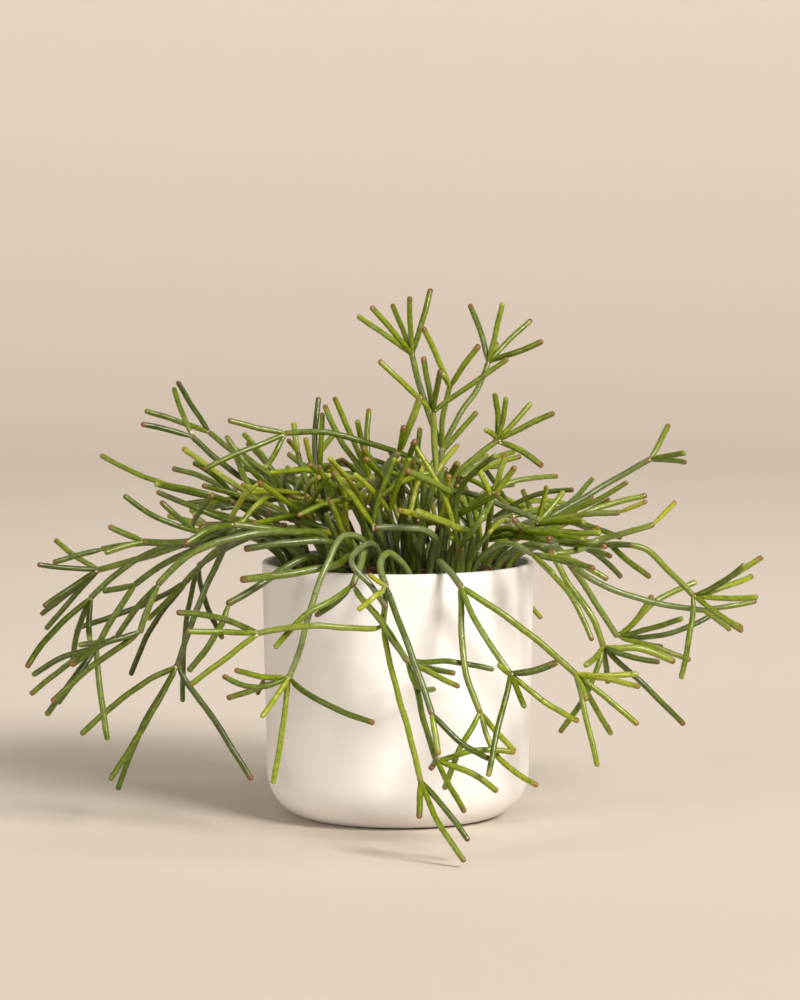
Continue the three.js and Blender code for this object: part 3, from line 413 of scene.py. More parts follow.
def part_pair(p, q):
    """Moves two sticks apart if they come too close. True if they did."""
    _, radius_p, a, b = p
    _, radius_q, c, d = q
    reach = radius_p + radius_q + CLEAR_GAP
    if apart(a, b, c, d, 1, reach):
        return False
    ux, uy, uz = b[0] - a[0], b[1] - a[1], b[2] - a[2]
    vx, vy, vz = d[0] - c[0], d[1] - c[1], d[2] - c[2]
    wx, wy, wz = a[0] - c[0], a[1] - c[1], a[2] - c[2]
    uu, uv, vv = ux * ux + uy * uy + uz * uz, ux * vx + uy * vy + uz * vz, vx * vx + vy * vy + vz * vz
    uw, vw = ux * wx + uy * wy + uz * wz, vx * wx + vy * wy + vz * wz
    flat = uu * vv - uv * uv
    s = clamp((uv * vw - vv * uw) / flat) if flat > PARALLEL * uu * vv else 0.5
    t = clamp((uv * s + vw) / vv)
    s = clamp((uv * t - uw) / uu)
    dx, dy, dz = wx + ux * s - vx * t, wy + uy * s - vy * t, wz + uz * s - vz * t
    aside = dx * dx + dz * dz
    if aside >= reach * reach:
        return False
    want = math.sqrt(reach * reach - aside)
    if abs(dy) >= want:
        return False
    move = ((want - abs(dy)) / 2 + CLEAR_STEP) * (1 if dy >= 0 else -1)
    shift(a, b, s, move)
    shift(c, d, t, -move)
    return True


def clamp(value):
    return min(1.0, max(0.0, value))


def shift(a, b, share, move):
    """Moves the place at this share of a stick, by moving those of its rings that aren't fixed."""
    wa = 0 if a[3] else 1 - share
    wb = 0 if b[3] else share
    total = wa * (1 - share) + wb * share
    if total < LEAST_HOLD:
        return
    a[1] += move * wa / total
    b[1] += move * wb / total


def grown_skeleton():
    """The skeleton of the part's source, and the names of its shoots."""
    skeleton = Skeleton()
    names = []
    for name, root, first in SHOOTS:
        names.append(name)
        skeleton.grow_stem(len(names) - 1, first, skeleton.root_rings(root), None)
    for name, root, fork, arms in THICKETS:
        names.append(name)
        skeleton.grow_thicket(len(names) - 1, root, fork, arms)
    for i, (root, joint, rise) in enumerate(BACK_SHOOTS):
        names.append(f"back_{i + 1:02d}")
        skeleton.grow_back_shoot(len(names) - 1, root, joint, rise)
    skeleton.clear()
    return skeleton, names


# The look of the stems
TUBE_SIDES = 14
RING_STEP = 1.7  # between the rings of a stem
ROOT_DEEP = 5  # how far below the bed a stem starts that only the scene has
CURVE_STEP = 0.4
UPRIGHT = 0.8
LEAN = 0.28  # how much of its bearer's direction a stem starts with
WOBBLE = 0.12
WOBBLE_LENGTH = [16, 30]
NECK_WIDTH = 0.62  # of a stem's full width, where it leaves a joint
NECK_LENGTH = 6  # or a third of the stem, whichever is less
BELLY = 0.06  # how much fuller a stem is past its middle
UNEVEN = 0.012
DOME_LONG = 0.85  # of a tip's rounding, in radii
DOME_STEPS = 5
BELLY_SKEW = 1.4
UNEVEN_LENGTH = [7, 12]
THICKNESS = [0.93, 1.05]  # of a stem, against its width in the part's source
JOINT_BACK = 0.75  # where a stem starts, back from the joint and aside, in radii of its bearer
JOINT_ASIDE = 0.4
PALE_BASE = [0.3, 1.6]
BOSS_SIDES = 6
BOSS_LONG = 1.25  # along the stem, against across it
BOSS_SUNK = 0.12
BOSS_SHOULDER = [0.62, 0.75]  # its width and height, against those of the whole boss
AREOLE_FIRST = [1.5, 3.5]
AREOLE_PITCH = 1.8
AREOLE_TURN = 2 * math.pi * 2 / 5 + 0.05
AREOLE_STRAY = [0.4, 0.2]  # along the stem, and about it in radians
AREOLE_LAST = 0.4  # from the stem's end, in radii
AREOLE_SIZE = [0.27, 0.43]
AREOLE_HIGH = 0.45
TUFTED = 0.45  # the share of stems that have tufts of wool
TUFTS = [1, 4]
TUFT_PLACE = [0.4, 2.4]
WOOL_SIZE = [0.4, 0.75]
WOOL_HIGH = 0.5
TIP_TINT = 3  # how far from its end a tip takes another colour, in radii

# What colours a stem: its tone (dark to bright), its age (green to grey), its tip (from -1, fresh, to 1, dry)
# and its base (green to pale)
TONE = [0.2, 0.9]
TONE_CURVE = [2.2, 2.0]
YOUNG_TONE = [0.75, 1.0]
YOUNG_BELOW = 2.75
OLD_FROM = 3.35
ROOTED_AGE = [0.4, 0.85]
BEARER_AGE = [0.1, 0.45]
OLD_AGE = [0.1, 0.35]
BEARERS = 257  # a stem looks like a bearer only if it is one of the first so many
FRESH_TIPS = 0.25  # the share of the tips that are fresh
DRY_TIPS = [0.4, 0.75]  # the share that is dry, of the hanging and extra stems and of the others
FRESH = [0.3, 0.9]
DRY = [0.5, 1.0]
BEARER_TIP = [0.2, 0.6]
BASE = [0.3, 1.0]
FAR_AWAY = [-500, 500]  # where in the noise a stem gets its grain
SHADED = 0.45  # the tone and age of the low stems in the middle, against the others; their darker tone is painted shade inside the plant
HANGING = ("left", "far_left")  # these shoots are the darkest, partly from a darker green of their own and partly as painted shade on the side away from the key light, and few of their tips are dry
HANGING_TONE_AND_SHADE = 0.62
HANGING_AGE = 0.4
GREY = ("front", "rim")  # the stems of these that root in the mix are the greyest

# Short stems that only the scene has. They fill the middle of the plant, wherever there is room for them.
EXTRA_MOST = 165
EXTRA_TRIES = 40  # at each joint
EXTRA_AT_A_JOINT = 2
EXTRA_DIAMETER = [2.6, 3.0]
EXTRA_LENGTH = [32, 58]
EXTRA_ASIDE = 0.5  # how freely one leaves the direction of its bearer
EXTRA_GAP = 0.8
EXTRA_FREE = 8  # this near its joint, a stem may touch the others there
EXTRA_STEP = 1.5
EXTRA_LEAST_HEIGHT = 138
EXTRA_DEPTH = [-70, 105]
# How high their tips may appear to the eye [across, up]
EXTRA_TOP = [[-110, 158], [-87, 176], [-56, 184], [-28, 188], [37, 188], [50, 166], [84, 160], [110, 148]]
SPROUTS = 34
SPROUT_TRIES = 600
SPROUT_REACH = 57  # of their roots from the middle of the pot
SPROUT_LENGTH = [30, 54]
SPROUT_LEAN = 0.55
SPROUT_STRAY = 0.2

# Single things that the photograph shows: the shoot whose end is cut, and a dry curl at the joint of another
CUT_SHOOT = "front_stub"
CURL_SHOOT = "rim_left_b"
CURL = [[-27, 147, 31], [-28, 152, 32], [-29.7, 155.1, 33], [-31, 157.7, 34], [-30.4, 159.9, 34]]
CURL_RADIUS = 0.9
CURL_TAPER = 0.6
CUT_SUNK = 0.3
CUT_WIDTH = 0.8  # of the pale end, in radii of the stem
CUT_HEIGHT = 0.5
PALE_END = [0.5, 0, 0, 0]

STEM_LOOK, AREOLE, WOOL = 0, 1, 2

rng = np.random.default_rng(5207)


def between(pair):
    return rng.uniform(*pair)


def any_turn():
    return rng.uniform(0, 2 * np.pi)


def smooth(low, high, value):
    share = np.clip((value - low) / (high - low), 0, 1)
    return share * share * (3 - 2 * share)


def unit(vector):
    return vector / max(np.linalg.norm(vector), 1e-9)


def across_of(way):
    """A direction at right angles to the given one."""
    helper = (0, 0, 1) if abs(way[2]) < UPRIGHT else (1, 0, 0)
    return unit(np.cross(way, helper))


def circle_of(sides):
    """The turns of the corners of a ring."""
    return 2 * np.pi * np.arange(sides) / sides


def points_at(distances, along, points):
    """The points at some distances along a line, or at one."""
    return np.stack([np.interp(distances, along, points[:, k]) for k in range(3)], axis=-1)


def tube_faces(rings, sides):
    faces = []
    for ring in range(rings - 1):
        low, high = ring * sides, (ring + 1) * sides
        for i in range(sides):
            j = (i + 1) % sides
            faces.append((low + i, low + j, high + j, high + i))
    return faces


def closed_faces(rings, sides):
    """A tube that is closed by fans about two more points, the one at its start and the one at its end."""
    faces = tube_faces(rings, sides)
    start, end, last = rings * sides, rings * sides + 1, (rings - 1) * sides
    for i in range(sides):
        j = (i + 1) % sides
        faces += [(j, i, start), (last + i, last + j, end)]
    return faces


def placed(name, data):
    """A new object in the scene."""
    thing = bpy.data.objects.new(name, data)
    bpy.context.scene.collection.objects.link(thing)
    return thing


def as_seen(place):
    """Where a place appears to the eye, across and up, in the upright plane through the pot's middle."""
    share = EYE_DISTANCE / (EYE_DISTANCE + place[1])
    return place[0] * share, EYE_HEIGHT + (place[2] - EYE_HEIGHT) * share


class Filling:
    """Adds the short stems of the plant's middle to the skeleton, once its other stems are bent clear."""

    def __init__(self, skeleton):
        self.skeleton = skeleton
        sticks = skeleton.sticks()
        self.starts = np.array([stick[2][:3] for stick in sticks])
        self.ways = np.array([stick[3][:3] for stick in sticks]) - self.starts
        self.radii = np.array([stick[1] for stick in sticks])
        self.thickets = {len(SHOOTS) + i: root for i, (_, root, _, _) in enumerate(THICKETS)}
        self.added = 0

    def has_room(self, start, tip, radius, free):
        way = tip - start
        length = np.linalg.norm(way)
        at = np.append(np.arange(free, length, EXTRA_STEP), length) / length
        offset = (start + way * at[:, None])[:, None] - self.starts
        share = np.clip((offset * self.ways).sum(2) / (self.ways**2).sum(1), 0, 1)
        gaps = np.linalg.norm(offset - share[..., None] * self.ways, axis=2) - self.radii - radius
        return gaps.min() > EXTRA_GAP

    def in_the_middle(self, place):
        across, up = as_seen(place)
        limits, heights = zip(*EXTRA_TOP)
        if not (limits[0] < across < limits[-1] and EXTRA_DEPTH[0] < place[1] < EXTRA_DEPTH[1]):
            return False
        return place[2] > EXTRA_LEAST_HEIGHT and up < np.interp(across, limits, heights)

    def add(self, shoot, radius, chain, before):
        start, tip = (self.skeleton.place(ring) for ring in chain[-2:])
        self.starts = np.vstack([self.starts, start])
        self.ways = np.vstack([self.ways, tip - start])
        self.radii = np.append(self.radii, radius)
        self.added += 1
        self.skeleton.add_stem(shoot, radius, chain, before, extra=True)

    def sprout(self):
        """A stem that rises from the bed, if there is room for it. It belongs to the nearest thicket."""
        turn, reach = any_turn(), SPROUT_REACH * math.sqrt(rng.random())
        x, y = reach * math.cos(turn), reach * math.sin(turn)
        lean = rng.normal(0, SPROUT_STRAY, 2) + SPROUT_LEAN * np.array((x, y)) / SPROUT_REACH
        start = np.array((x, y, SOIL_TOP))
        tip = start + unit(np.array((*lean, 1))) * between(SPROUT_LENGTH)
        radius = between(EXTRA_DIAMETER) / 2
        if not (self.in_the_middle(tip) and self.has_room(start, tip, radius, 0)):
            return False
        nearest = min(self.thickets, key=lambda shoot: abs(self.thickets[shoot][0] - x))
        places = (x, y, SOIL_TOP - ROOT_DEEP), tuple(start), tuple(tip)
        self.add(nearest, radius, [self.skeleton.add_ring(place) for place in places], None)
        return True

    def branch(self, bearer):
        """Stems at the end of another one."""
        joint, heading = self.skeleton.end(bearer)
        grown = 0
        for _ in range(EXTRA_TRIES):
            tip = joint + unit(heading + rng.normal(0, EXTRA_ASIDE, 3)) * between(EXTRA_LENGTH)
            radius = between(EXTRA_DIAMETER) / 2
            if self.in_the_middle(tip) and self.has_room(joint, tip, radius, EXTRA_FREE):
                chain = [bearer["chain"][-1], self.skeleton.add_ring(tuple(tip))]
                self.add(bearer["shoot"], radius, chain, bearer["index"])
                grown += 1
            if grown == EXTRA_AT_A_JOINT or self.added >= EXTRA_MOST:
                return

    def grow(self):
        sprouts = 0
        for _ in range(SPROUT_TRIES):
            sprouts += self.sprout()
            if sprouts == SPROUTS:
                break
        for stem in self.skeleton.stems[::-1]:
            end = self.skeleton.rings[stem["chain"][-1]]
            if self.in_the_middle(end) and (stem["bears"] or stem["shoot"] >= len(SHOOTS)):
                self.branch(stem)


class Shape:
    """The points and faces of one piece, with what the materials read at each point."""

    def __init__(self):
        self.points, self.faces, self.finish, self.look, self.grain = [], [], [], [], []
        self.count = 0

    def add(self, points, faces, look, grain=None, finish=0):
        """look is [tone, age, tip, base], for all the points or for each."""
        self.points.append(points)
        self.faces += [tuple(self.count + i for i in face) for face in faces]
        self.finish += [finish] * len(faces)
        self.look.append(np.broadcast_to(np.asarray(look, float), (len(points), 4)))
        self.grain.append(points if grain is None else grain)
        self.count += len(points)

    def piece(self, name, materials):
        mesh = bpy.data.meshes.new(name)
        mesh.from_pydata(np.concatenate(self.points) * MM, [], self.faces)
        mesh.polygons.foreach_set("material_index", self.finish)
        mesh.shade_smooth()
        for key, kind, field, values in (
            ("look", "FLOAT_COLOR", "color", self.look),
            ("grain", "FLOAT_VECTOR", "vector", self.grain),
        ):
            attribute = mesh.attributes.new(key, kind, "POINT")
            attribute.data.foreach_set(field, np.concatenate(values).astype(np.float32).ravel())
        for material in materials:
            mesh.materials.append(material)
        mesh.update()
        piece = placed(name, mesh)
        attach(piece, "root")
        return piece


def curve_through(places, first_way=None):
    """Points about CURVE_STEP apart on one smooth curve through the places, and the distance along it."""
    chords = np.diff(places, axis=0)
    lengths = np.linalg.norm(chords, axis=1)
    ways = chords / lengths[:, None]
    tangents = np.empty_like(places)
    for i in range(1, len(places) - 1):
        mixed = ways[i - 1] * lengths[i] + ways[i] * lengths[i - 1]
        tangents[i] = mixed / (lengths[i - 1] + lengths[i])
    tangents[0] = unit(ways[0] if first_way is None else ways[0] * (1 - LEAN) + first_way * LEAN)
    tangents[-1] = 1.5 * ways[-1] - 0.5 * tangents[-2]
    stretches = []
    for i, length in enumerate(lengths):
        share = np.arange(0, 1, CURVE_STEP / length)[:, None]
        square, cube = share**2, share**3
        stretches.append(
            (2 * cube - 3 * square + 1) * places[i]
            + (cube - 2 * square + share) * length * tangents[i]
            + (3 * square - 2 * cube) * places[i + 1]
            + (cube - square) * length * tangents[i + 1]
        )
    points = np.concatenate([*stretches, places[-1:]])
    along = np.concatenate([[0], np.cumsum(np.linalg.norm(np.diff(points, axis=0), axis=1))])
    return points, along


def wavering(points, along):
    """The curve with a slight waver that is none at its ends."""
    way = unit(points[-1] - points[0])
    side = across_of(way)
    other = np.cross(way, side)
    hold = np.sqrt(np.maximum(0, np.sin(np.pi * along / along[-1])))
    for aside in (side, other):
        wave = np.sin(2 * np.pi * (along / between(WOBBLE_LENGTH) + rng.random()))
        points = points + (WOBBLE * hold * wave)[:, None] * aside
    return points


class Stem:
    """One fine stem: its middle line, its widths, and the turning frame that its surface is laid on."""

    def __init__(self, points, along, radius, necked):
        self.length = along[-1]
        self.radius = radius
        dome = min(DOME_LONG * radius, self.length / 3)
        body = np.linspace(0, self.length - dome, max(3, round((self.length - dome) / RING_STEP) + 1))
        turns = np.linspace(0, np.pi / 2, DOME_STEPS + 1)[1:-1]
        self.at = np.concatenate([body, self.length - dome + dome * np.sin(turns)])
        self.width = radius * self.swell(self.at, necked)
        self.width[len(body) :] *= np.cos(turns)
        self.centres = points_at(self.at, along, points)
        self.end = points[-1]
        self.lay_frames()

    def swell(self, at, necked):
        share = at / self.length
        swell = 1 + BELLY * (np.sin(np.pi * share**BELLY_SKEW) - 0.5)
        swell = swell * (1 + UNEVEN * np.sin(2 * np.pi * (at / between(UNEVEN_LENGTH) + rng.random())))
        if necked:
            swell = swell * (NECK_WIDTH + (1 - NECK_WIDTH) * smooth(0, min(NECK_LENGTH, self.length / 3), at))
        return swell

    def lay_frames(self):
        ways = np.gradient(self.centres, axis=0)
        ways /= np.linalg.norm(ways, axis=1)[:, None]
        side = across_of(ways[0])
        sides = []
        for way in ways:
            side = unit(side - way * np.dot(side, way))
            sides.append(side)
        self.ways, self.sides = ways, np.array(sides)
        self.others = np.cross(ways, self.sides)

    def on_surface(self, at, turn):
        """The point at a distance along the stem and a turn about it, and the way out there."""
        centre = points_at(at, self.at, self.centres)
        i = min(int(np.searchsorted(self.at, at)), len(self.at) - 1)
        out = unit(math.cos(turn) * self.sides[i] + math.sin(turn) * self.others[i])
        return centre + out * np.interp(at, self.at, self.width), out, self.ways[i]

    def surface(self, shape, look):
        turns = circle_of(TUBE_SIDES)
        outs = np.cos(turns)[:, None] * self.sides[:, None] + np.sin(turns)[:, None] * self.others[:, None]
        rings = self.centres[:, None] + outs * self.width[:, None, None]
        points = np.concatenate([rings.reshape(-1, 3), self.centres[:1], self.end[None]])
        count = len(self.at)
        at = np.concatenate([np.repeat(self.at, TUBE_SIDES), [0, self.length]])
        flat_turns = np.concatenate([np.tile(turns, count), [0, 0]])
        grain = np.stack([self.radius * np.cos(flat_turns), self.radius * np.sin(flat_turns), at], axis=1)
        looks = np.empty((len(points), 4))
        looks[:, 0], looks[:, 1] = look["tone"], look["age"]
        near_tip = smooth(self.length - TIP_TINT * self.radius, self.length, at)
        looks[:, 2] = look["tip"] * (1 if look["dried"] else near_tip)
        looks[:, 3] = look["base"] * (1 - smooth(*PALE_BASE, at))
        shape.add(points, closed_faces(count, TUBE_SIDES), looks, grain + look["shift"], STEM_LOOK)


def bump(shape, place, out, way, size, height, finish, look):
    """A low round boss on a surface, such as an areole."""
    side = unit(np.cross(out, way))
    turns = circle_of(BOSS_SIDES)
    circle = np.cos(turns)[:, None] * side + np.sin(turns)[:, None] * way * BOSS_LONG
    low = place + circle * size - out * BOSS_SUNK
    high = place + circle * size * BOSS_SHOULDER[0] + out * height * BOSS_SHOULDER[1]
    points = np.concatenate([low, high, [place + out * height]])
    faces = []
    for i in range(BOSS_SIDES):
        j = (i + 1) % BOSS_SIDES
        faces += [(i, j, BOSS_SIDES + j, BOSS_SIDES + i)]
        faces += [(BOSS_SIDES + i, BOSS_SIDES + j, 2 * BOSS_SIDES)]
    shape.add(points, faces, look, None, finish)


def areoles(shape, stem, age):
    at, turn = between(AREOLE_FIRST), any_turn()
    far, round_about = AREOLE_STRAY
    while at < stem.length - AREOLE_LAST * stem.radius:
        at_stray, turn_stray = rng.uniform(-far, far), rng.uniform(-round_about, round_about)
        place, out, way = stem.on_surface(at + at_stray, turn + turn_stray)
        size = between(AREOLE_SIZE)
        bump(shape, place, out, way, size, AREOLE_HIGH * size, AREOLE, [rng.random(), age, 0, 0])
        at += AREOLE_PITCH
        turn += AREOLE_TURN


def tufts(shape, stem, count):
    """Small tufts of wool about the base of a stem."""
    for _ in range(count):
        place, out, way = stem.on_surface(between(TUFT_PLACE), any_turn())
        size = between(WOOL_SIZE)
        bump(shape, place, out, way, size, WOOL_HIGH * size, WOOL, [rng.random(), 0, 0, 0])


def stem_looks(stem, name):
    """The finish of one stem: the slimmest are bright, thick ones and those that bear others turn grey."""
    hangs = name.startswith(HANGING)
    bears = stem["bears"] and stem["index"] < BEARERS
    thick = stem["radius"] * 2
    age = 0.0
    if stem["before"] is None:
        age = 1.0 if name.startswith(GREY) else between(ROOTED_AGE)
    elif bears:
        age = between(BEARER_AGE)
    elif thick > OLD_FROM:
        age = between(OLD_AGE)
    if thick < YOUNG_BELOW:
        tone = between(YOUNG_TONE)
    else:
        tone = TONE[0] + (TONE[1] - TONE[0]) * rng.beta(*TONE_CURVE)
    # Painted shade: the low extra stems that rise from the bed are darkened for the shade inside the plant,
    # and made less grey
    if stem["extra"] and stem["before"] is None:
        tone, age = tone * SHADED, age * SHADED
    # The hanging shoots on the left get a darker tone: partly their own darker green, partly painted shade on
    # the side away from the key light
    if hangs:
        tone, age = tone * HANGING_TONE_AND_SHADE, age * HANGING_AGE
    kind, tip = rng.random(), 0.0
    if kind < FRESH_TIPS:
        tip = -between(FRESH)
    elif kind > 1 - DRY_TIPS[0 if hangs or stem["extra"] else 1]:
        tip = between(DRY)
    if bears:
        tip = between(BEARER_TIP)
    base = between(BASE)
    shift = rng.uniform(*FAR_AWAY, 3)
    return {"tone": tone, "age": age, "tip": tip, "base": base, "shift": shift, "dried": False}


def middle_line(skeleton, stem):
    """The smooth line of one stem, which leaves its bearer's surface and not its middle."""
    places = np.array([skeleton.place(ring) for ring in stem["chain"]])
    if stem["before"] is None:
        return curve_through(places)
    bearer = skeleton.stems[stem["before"]]
    joint, heading = skeleton.end(bearer)
    way = unit(places[1] - joint)
    aside = way - heading * np.dot(way, heading)
    places[0] = joint - heading * (JOINT_BACK * bearer["radius"]) + aside * (JOINT_ASIDE * bearer["radius"])
    return curve_through(places, heading)


def stem_piece(skeleton, name, shoot, materials):
    shape = Shape()
    for stem in skeleton.stems:
        if stem["shoot"] != shoot:
            continue
        points, along = middle_line(skeleton, stem)
        points = wavering(points, along)
        grows = stem["before"] is not None
        fine = Stem(points, along, stem["radius"] * between(THICKNESS), grows)
        look = stem_looks(stem, name)
        fine.surface(shape, look)
        areoles(shape, fine, look["age"])
        if grows and rng.random() < TUFTED:
            tufts(shape, fine, int(rng.integers(*TUFTS)))
        if name == CUT_SHOOT:
            way, width = fine.ways[-1], CUT_WIDTH * fine.radius
            bump(shape, fine.end - CUT_SUNK * way, way, fine.sides[-1], width, CUT_HEIGHT, WOOL, PALE_END)
    if name == CURL_SHOOT:
        points, along = curve_through(np.array([in_sight(place, CURL_RADIUS) for place in CURL]))
        curl = Stem(points, along, CURL_RADIUS, False)
        curl.width *= 1 - CURL_TAPER * curl.at / curl.length
        curl.surface(shape, {"tone": 0.5, "age": 0, "tip": 1, "base": 0, "shift": np.zeros(3), "dried": True})
    piece = shape.piece("fine_stems_" + name, materials)
    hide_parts("stems_" + name)


# Round bodies about the Z axis
def turned(shape, profile, sides, look=(0, 0, 0, 0), lift=None):
    """A closed body from its profile of [radius, height], which starts and ends on the axis. lift changes its
    points."""
    turns = circle_of(sides)
    rings = np.array(profile[1:-1], float)
    x = rings[:, 0, None] * np.cos(turns)
    y = rings[:, 0, None] * np.sin(turns)
    z = np.repeat(rings[:, 1, None], sides, axis=1)
    points = np.stack([x, y, z], axis=2).reshape(-1, 3)
    points = np.concatenate([points, [[0, 0, profile[0][1]], [0, 0, profile[-1][1]]]])
    if lift is not None:
        points = lift(points)
    shape.add(points, closed_faces(len(rings), sides), look)


TAPER = (POT_RIM_RADIUS - POT_FOOT_RADIUS) / POT_HEIGHT


def side_at(height):
    return POT_FOOT_RADIUS + TAPER * height


def rounded_foot(radius, floor, inset, count):
    side = side_at(floor + radius) - inset
    turns = [math.pi / 2 * i / count for i in range(count + 1)]
    return [[side - radius + radius * math.sin(t), floor + radius - radius * math.cos(t)] for t in turns]


def straight_side(low, high, inset):
    """Places up the plain tapered side between two heights, without its ends."""
    count = max(1, round((high - low) / SIDE_STEP))
    heights = [low + (high - low) * i / count for i in range(1, count)]
    return [[side_at(h) - inset, h] for h in heights]


def rim_profile():
    outer, inner, top, edge = POT_RIM_RADIUS, POT_RIM_RADIUS - POT_WALL, POT_HEIGHT, POT_RIM_ROUND
    turns = [math.pi / 2 * i / RIM_STEPS for i in range(RIM_STEPS + 1)]
    out = [[outer - edge + edge * math.cos(t), top - edge + edge * math.sin(t)] for t in turns]
    back = [[inner + edge - edge * math.sin(t), top - edge + edge * math.cos(t)] for t in turns]
    return out + back


def pot_piece(material):
    inner_round = POT_FOOT_ROUND - POT_WALL
    outside = rounded_foot(POT_FOOT_ROUND, 0, 0, FOOT_STEPS)
    inside = rounded_foot(inner_round, POT_FLOOR, POT_WALL, FOOT_STEPS)[::-1]
    top = POT_HEIGHT - POT_RIM_ROUND
    profile = [[0, 0], *outside, *straight_side(POT_FOOT_ROUND, top, 0), *rim_profile()]
    profile += straight_side(POT_FLOOR + inner_round, top, POT_WALL)[::-1]
    profile += [*inside, [0, POT_FLOOR]]
    shape = Shape()
    turned(shape, profile, POT_SIDES)
    piece = shape.piece("fine_pot", [material])
    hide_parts("pot")


# The bed of mix: bumps, then bark, grit, light bits and fibres on it
MIX, BARK, PALE = 0, 1, 2
BED_LOOK = (0.3, 0.2, 0, 0)
BED_STEP = 1  # how far the side ends below the lowest bumps
BED_FOOT_STEPS = 8
# Each wave in the bed's top: its height, how fast it runs across and away, and where it starts
WAVES = [(0.9, 0.21, 0.13, 0.3), (0.6, -0.17, 0.29, 1.9), (0.35, 0.53, 0.41, 4.1), (0.3, -0.61, 0.37, 2.2)]
# Each kind of bit: how many, their sizes, how narrow and how flat they are, how rough, their finish, how fine
# the ball is that they are made from, and how far they are sunk
BITS = [
    (420, [2.2, 5.5], [(0.5, 0.85), (0.22, 0.4)], 0.07, BARK, 2, 0.2),
    (900, [0.7, 1.6], [(0.6, 1.0), (0.5, 0.9)], 0.1, MIX, 1, 0.3),
    (70, [1.0, 1.9], [(0.7, 1.0), (0.6, 0.9)], 0.08, PALE, 2, 0.2),
]
BIT_LEAN = 0.3
BIT_ROOM = 1.15  # kept from the wall of the pot, in sizes
FIBRES = 70
FIBRE_LENGTH = [8, 22]
FIBRE_ROOM = 6
FIBRE_PLACES = 5
FIBRE_LIFT = [0.6, 1.8]
FIBRE_BEND = 0.5
FIBRE_RADIUS = [0.18, 0.34]
FIBRE_STEP = 2.0
FIBRE_SIDES = 5
FIBRE_TONE = [0.6, 1]


def bed_height(x, y):
    """The bumpy top of the mix."""
    rise = sum(size * np.sin(a * x + b * y + phase) for size, a, b, phase in WAVES)
    return SOIL_TOP + SOIL_CROWN * (1 - np.hypot(x, y) / POT_RIM_RADIUS) + SOIL_ROUGH * 0.5 * rise


def lump(level):
    """A ball of triangles, as points and faces."""
    ball = bmesh.new()
    bmesh.ops.create_icosphere(ball, subdivisions=level, radius=1)
    points = np.array([v.co[:] for v in ball.verts])
    faces = [tuple(v.index for v in face.verts) for face in ball.faces]
    ball.free()
    return points, faces


def turned_randomly(points):
    yaw, roll, pitch = any_turn(), rng.normal(0, BIT_LEAN), rng.normal(0, BIT_LEAN)
    cy, sy, cr, sr, cp, sp = (f(v) for v in (yaw, roll, pitch) for f in (math.cos, math.sin))
    rx = np.array([[1, 0, 0], [0, cr, -sr], [0, sr, cr]])
    ry = np.array([[cp, 0, sp], [0, 1, 0], [-sp, 0, cp]])
    rz = np.array([[cy, -sy, 0], [sy, cy, 0], [0, 0, 1]])
    return points @ (rz @ ry @ rx).T


def scatter(shape, count, sizes, squeeze, rough, finish, level, sunk):
    points, faces = lump(level)
    reach = side_at(SOIL_TOP) - POT_WALL - FIT_GAP
    for _ in range(count):
        size = between(sizes)
        away, turn = (reach - size * BIT_ROOM) * math.sqrt(rng.random()), any_turn()
        x, y = away * math.cos(turn), away * math.sin(turn)
        stretch = np.array([1, *(rng.uniform(low, high) for low, high in squeeze)])
        body = points * (1 + rng.normal(0, rough, (len(points), 1))) * stretch * size
        body = turned_randomly(body)
        z = bed_height(x, y) + size * stretch[2] * (1 - sunk)
        shape.add(body + (x, y, z), faces, [rng.random(), rng.random(), 0, 0], None, finish)


def fibre(shape):
    reach = side_at(SOIL_TOP) - POT_WALL - FIBRE_ROOM
    away, turn, yaw = reach * math.sqrt(rng.random()), any_turn(), any_turn()
    stride = between(FIBRE_LENGTH) / (FIBRE_PLACES - 1)
    places, x, y = [], away * math.cos(turn), away * math.sin(turn)
    for _ in range(FIBRE_PLACES):
        if math.hypot(x, y) > reach:
            break
        places.append((x, y, bed_height(x, y) + between(FIBRE_LIFT)))
        x, y = x + math.cos(yaw) * stride, y + math.sin(yaw) * stride
        yaw += rng.normal(0, FIBRE_BEND)
    if len(places) < 3:
        return
    points, along = curve_through(np.array(places))
    radius = between(FIBRE_RADIUS)
    at = np.arange(0, along[-1], FIBRE_STEP)
    centres = points_at(at, along, points)
    turns = circle_of(FIBRE_SIDES)
    way = unit(centres[-1] - centres[0])
    side = across_of(way)
    other = np.cross(way, side)
    circle = radius * (np.cos(turns)[:, None] * side + np.sin(turns)[:, None] * other)
    rings = (centres[:, None] + circle).reshape(-1, 3)
    ends = [range(FIBRE_SIDES - 1, -1, -1), range((len(at) - 1) * FIBRE_SIDES, len(at) * FIBRE_SIDES)]
    faces = tube_faces(len(at), FIBRE_SIDES) + [tuple(end) for end in ends]
    shape.add(rings, faces, [between(FIBRE_TONE), 1, 0, 0], None, BARK)


def soil_piece(materials):
    floor, inset = POT_FLOOR + FIT_GAP, POT_WALL + FIT_GAP
    foot = rounded_foot(POT_FOOT_ROUND - POT_WALL, floor, inset, BED_FOOT_STEPS)
    edge = side_at(SOIL_TOP) - inset
    low = SOIL_TOP - SOIL_ROUGH - BED_STEP
    top = [[edge * (1 - i / SOIL_RINGS), SOIL_TOP] for i in range(SOIL_RINGS)]
    profile = [[0, floor], *foot, *straight_side(foot[-1][1], low, inset), [side_at(low) - inset, low], *top]
    profile += [[0, SOIL_TOP]]

    def lift(points):
        on_top = points[:, 2] >= SOIL_TOP
        points[on_top, 2] = bed_height(points[on_top, 0], points[on_top, 1])
        return points

    shape = Shape()
    turned(shape, profile, SOIL_SIDES, BED_LOOK, lift)
    for bits in BITS:
        scatter(shape, *bits)
    for _ in range(FIBRES):
        fibre(shape)
    piece = shape.piece("fine_mix", materials)
    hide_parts("soil")


# Materials
def srgb(*levels):
    """A colour as the screen gives it, 0 to 255, as the light levels that the shaders take."""
    share = [level / 255 for level in levels]
    return [s / 12.92 if s <= 0.04045 else ((s + 0.055) / 1.055) ** 2.4 for s in share] + [1]


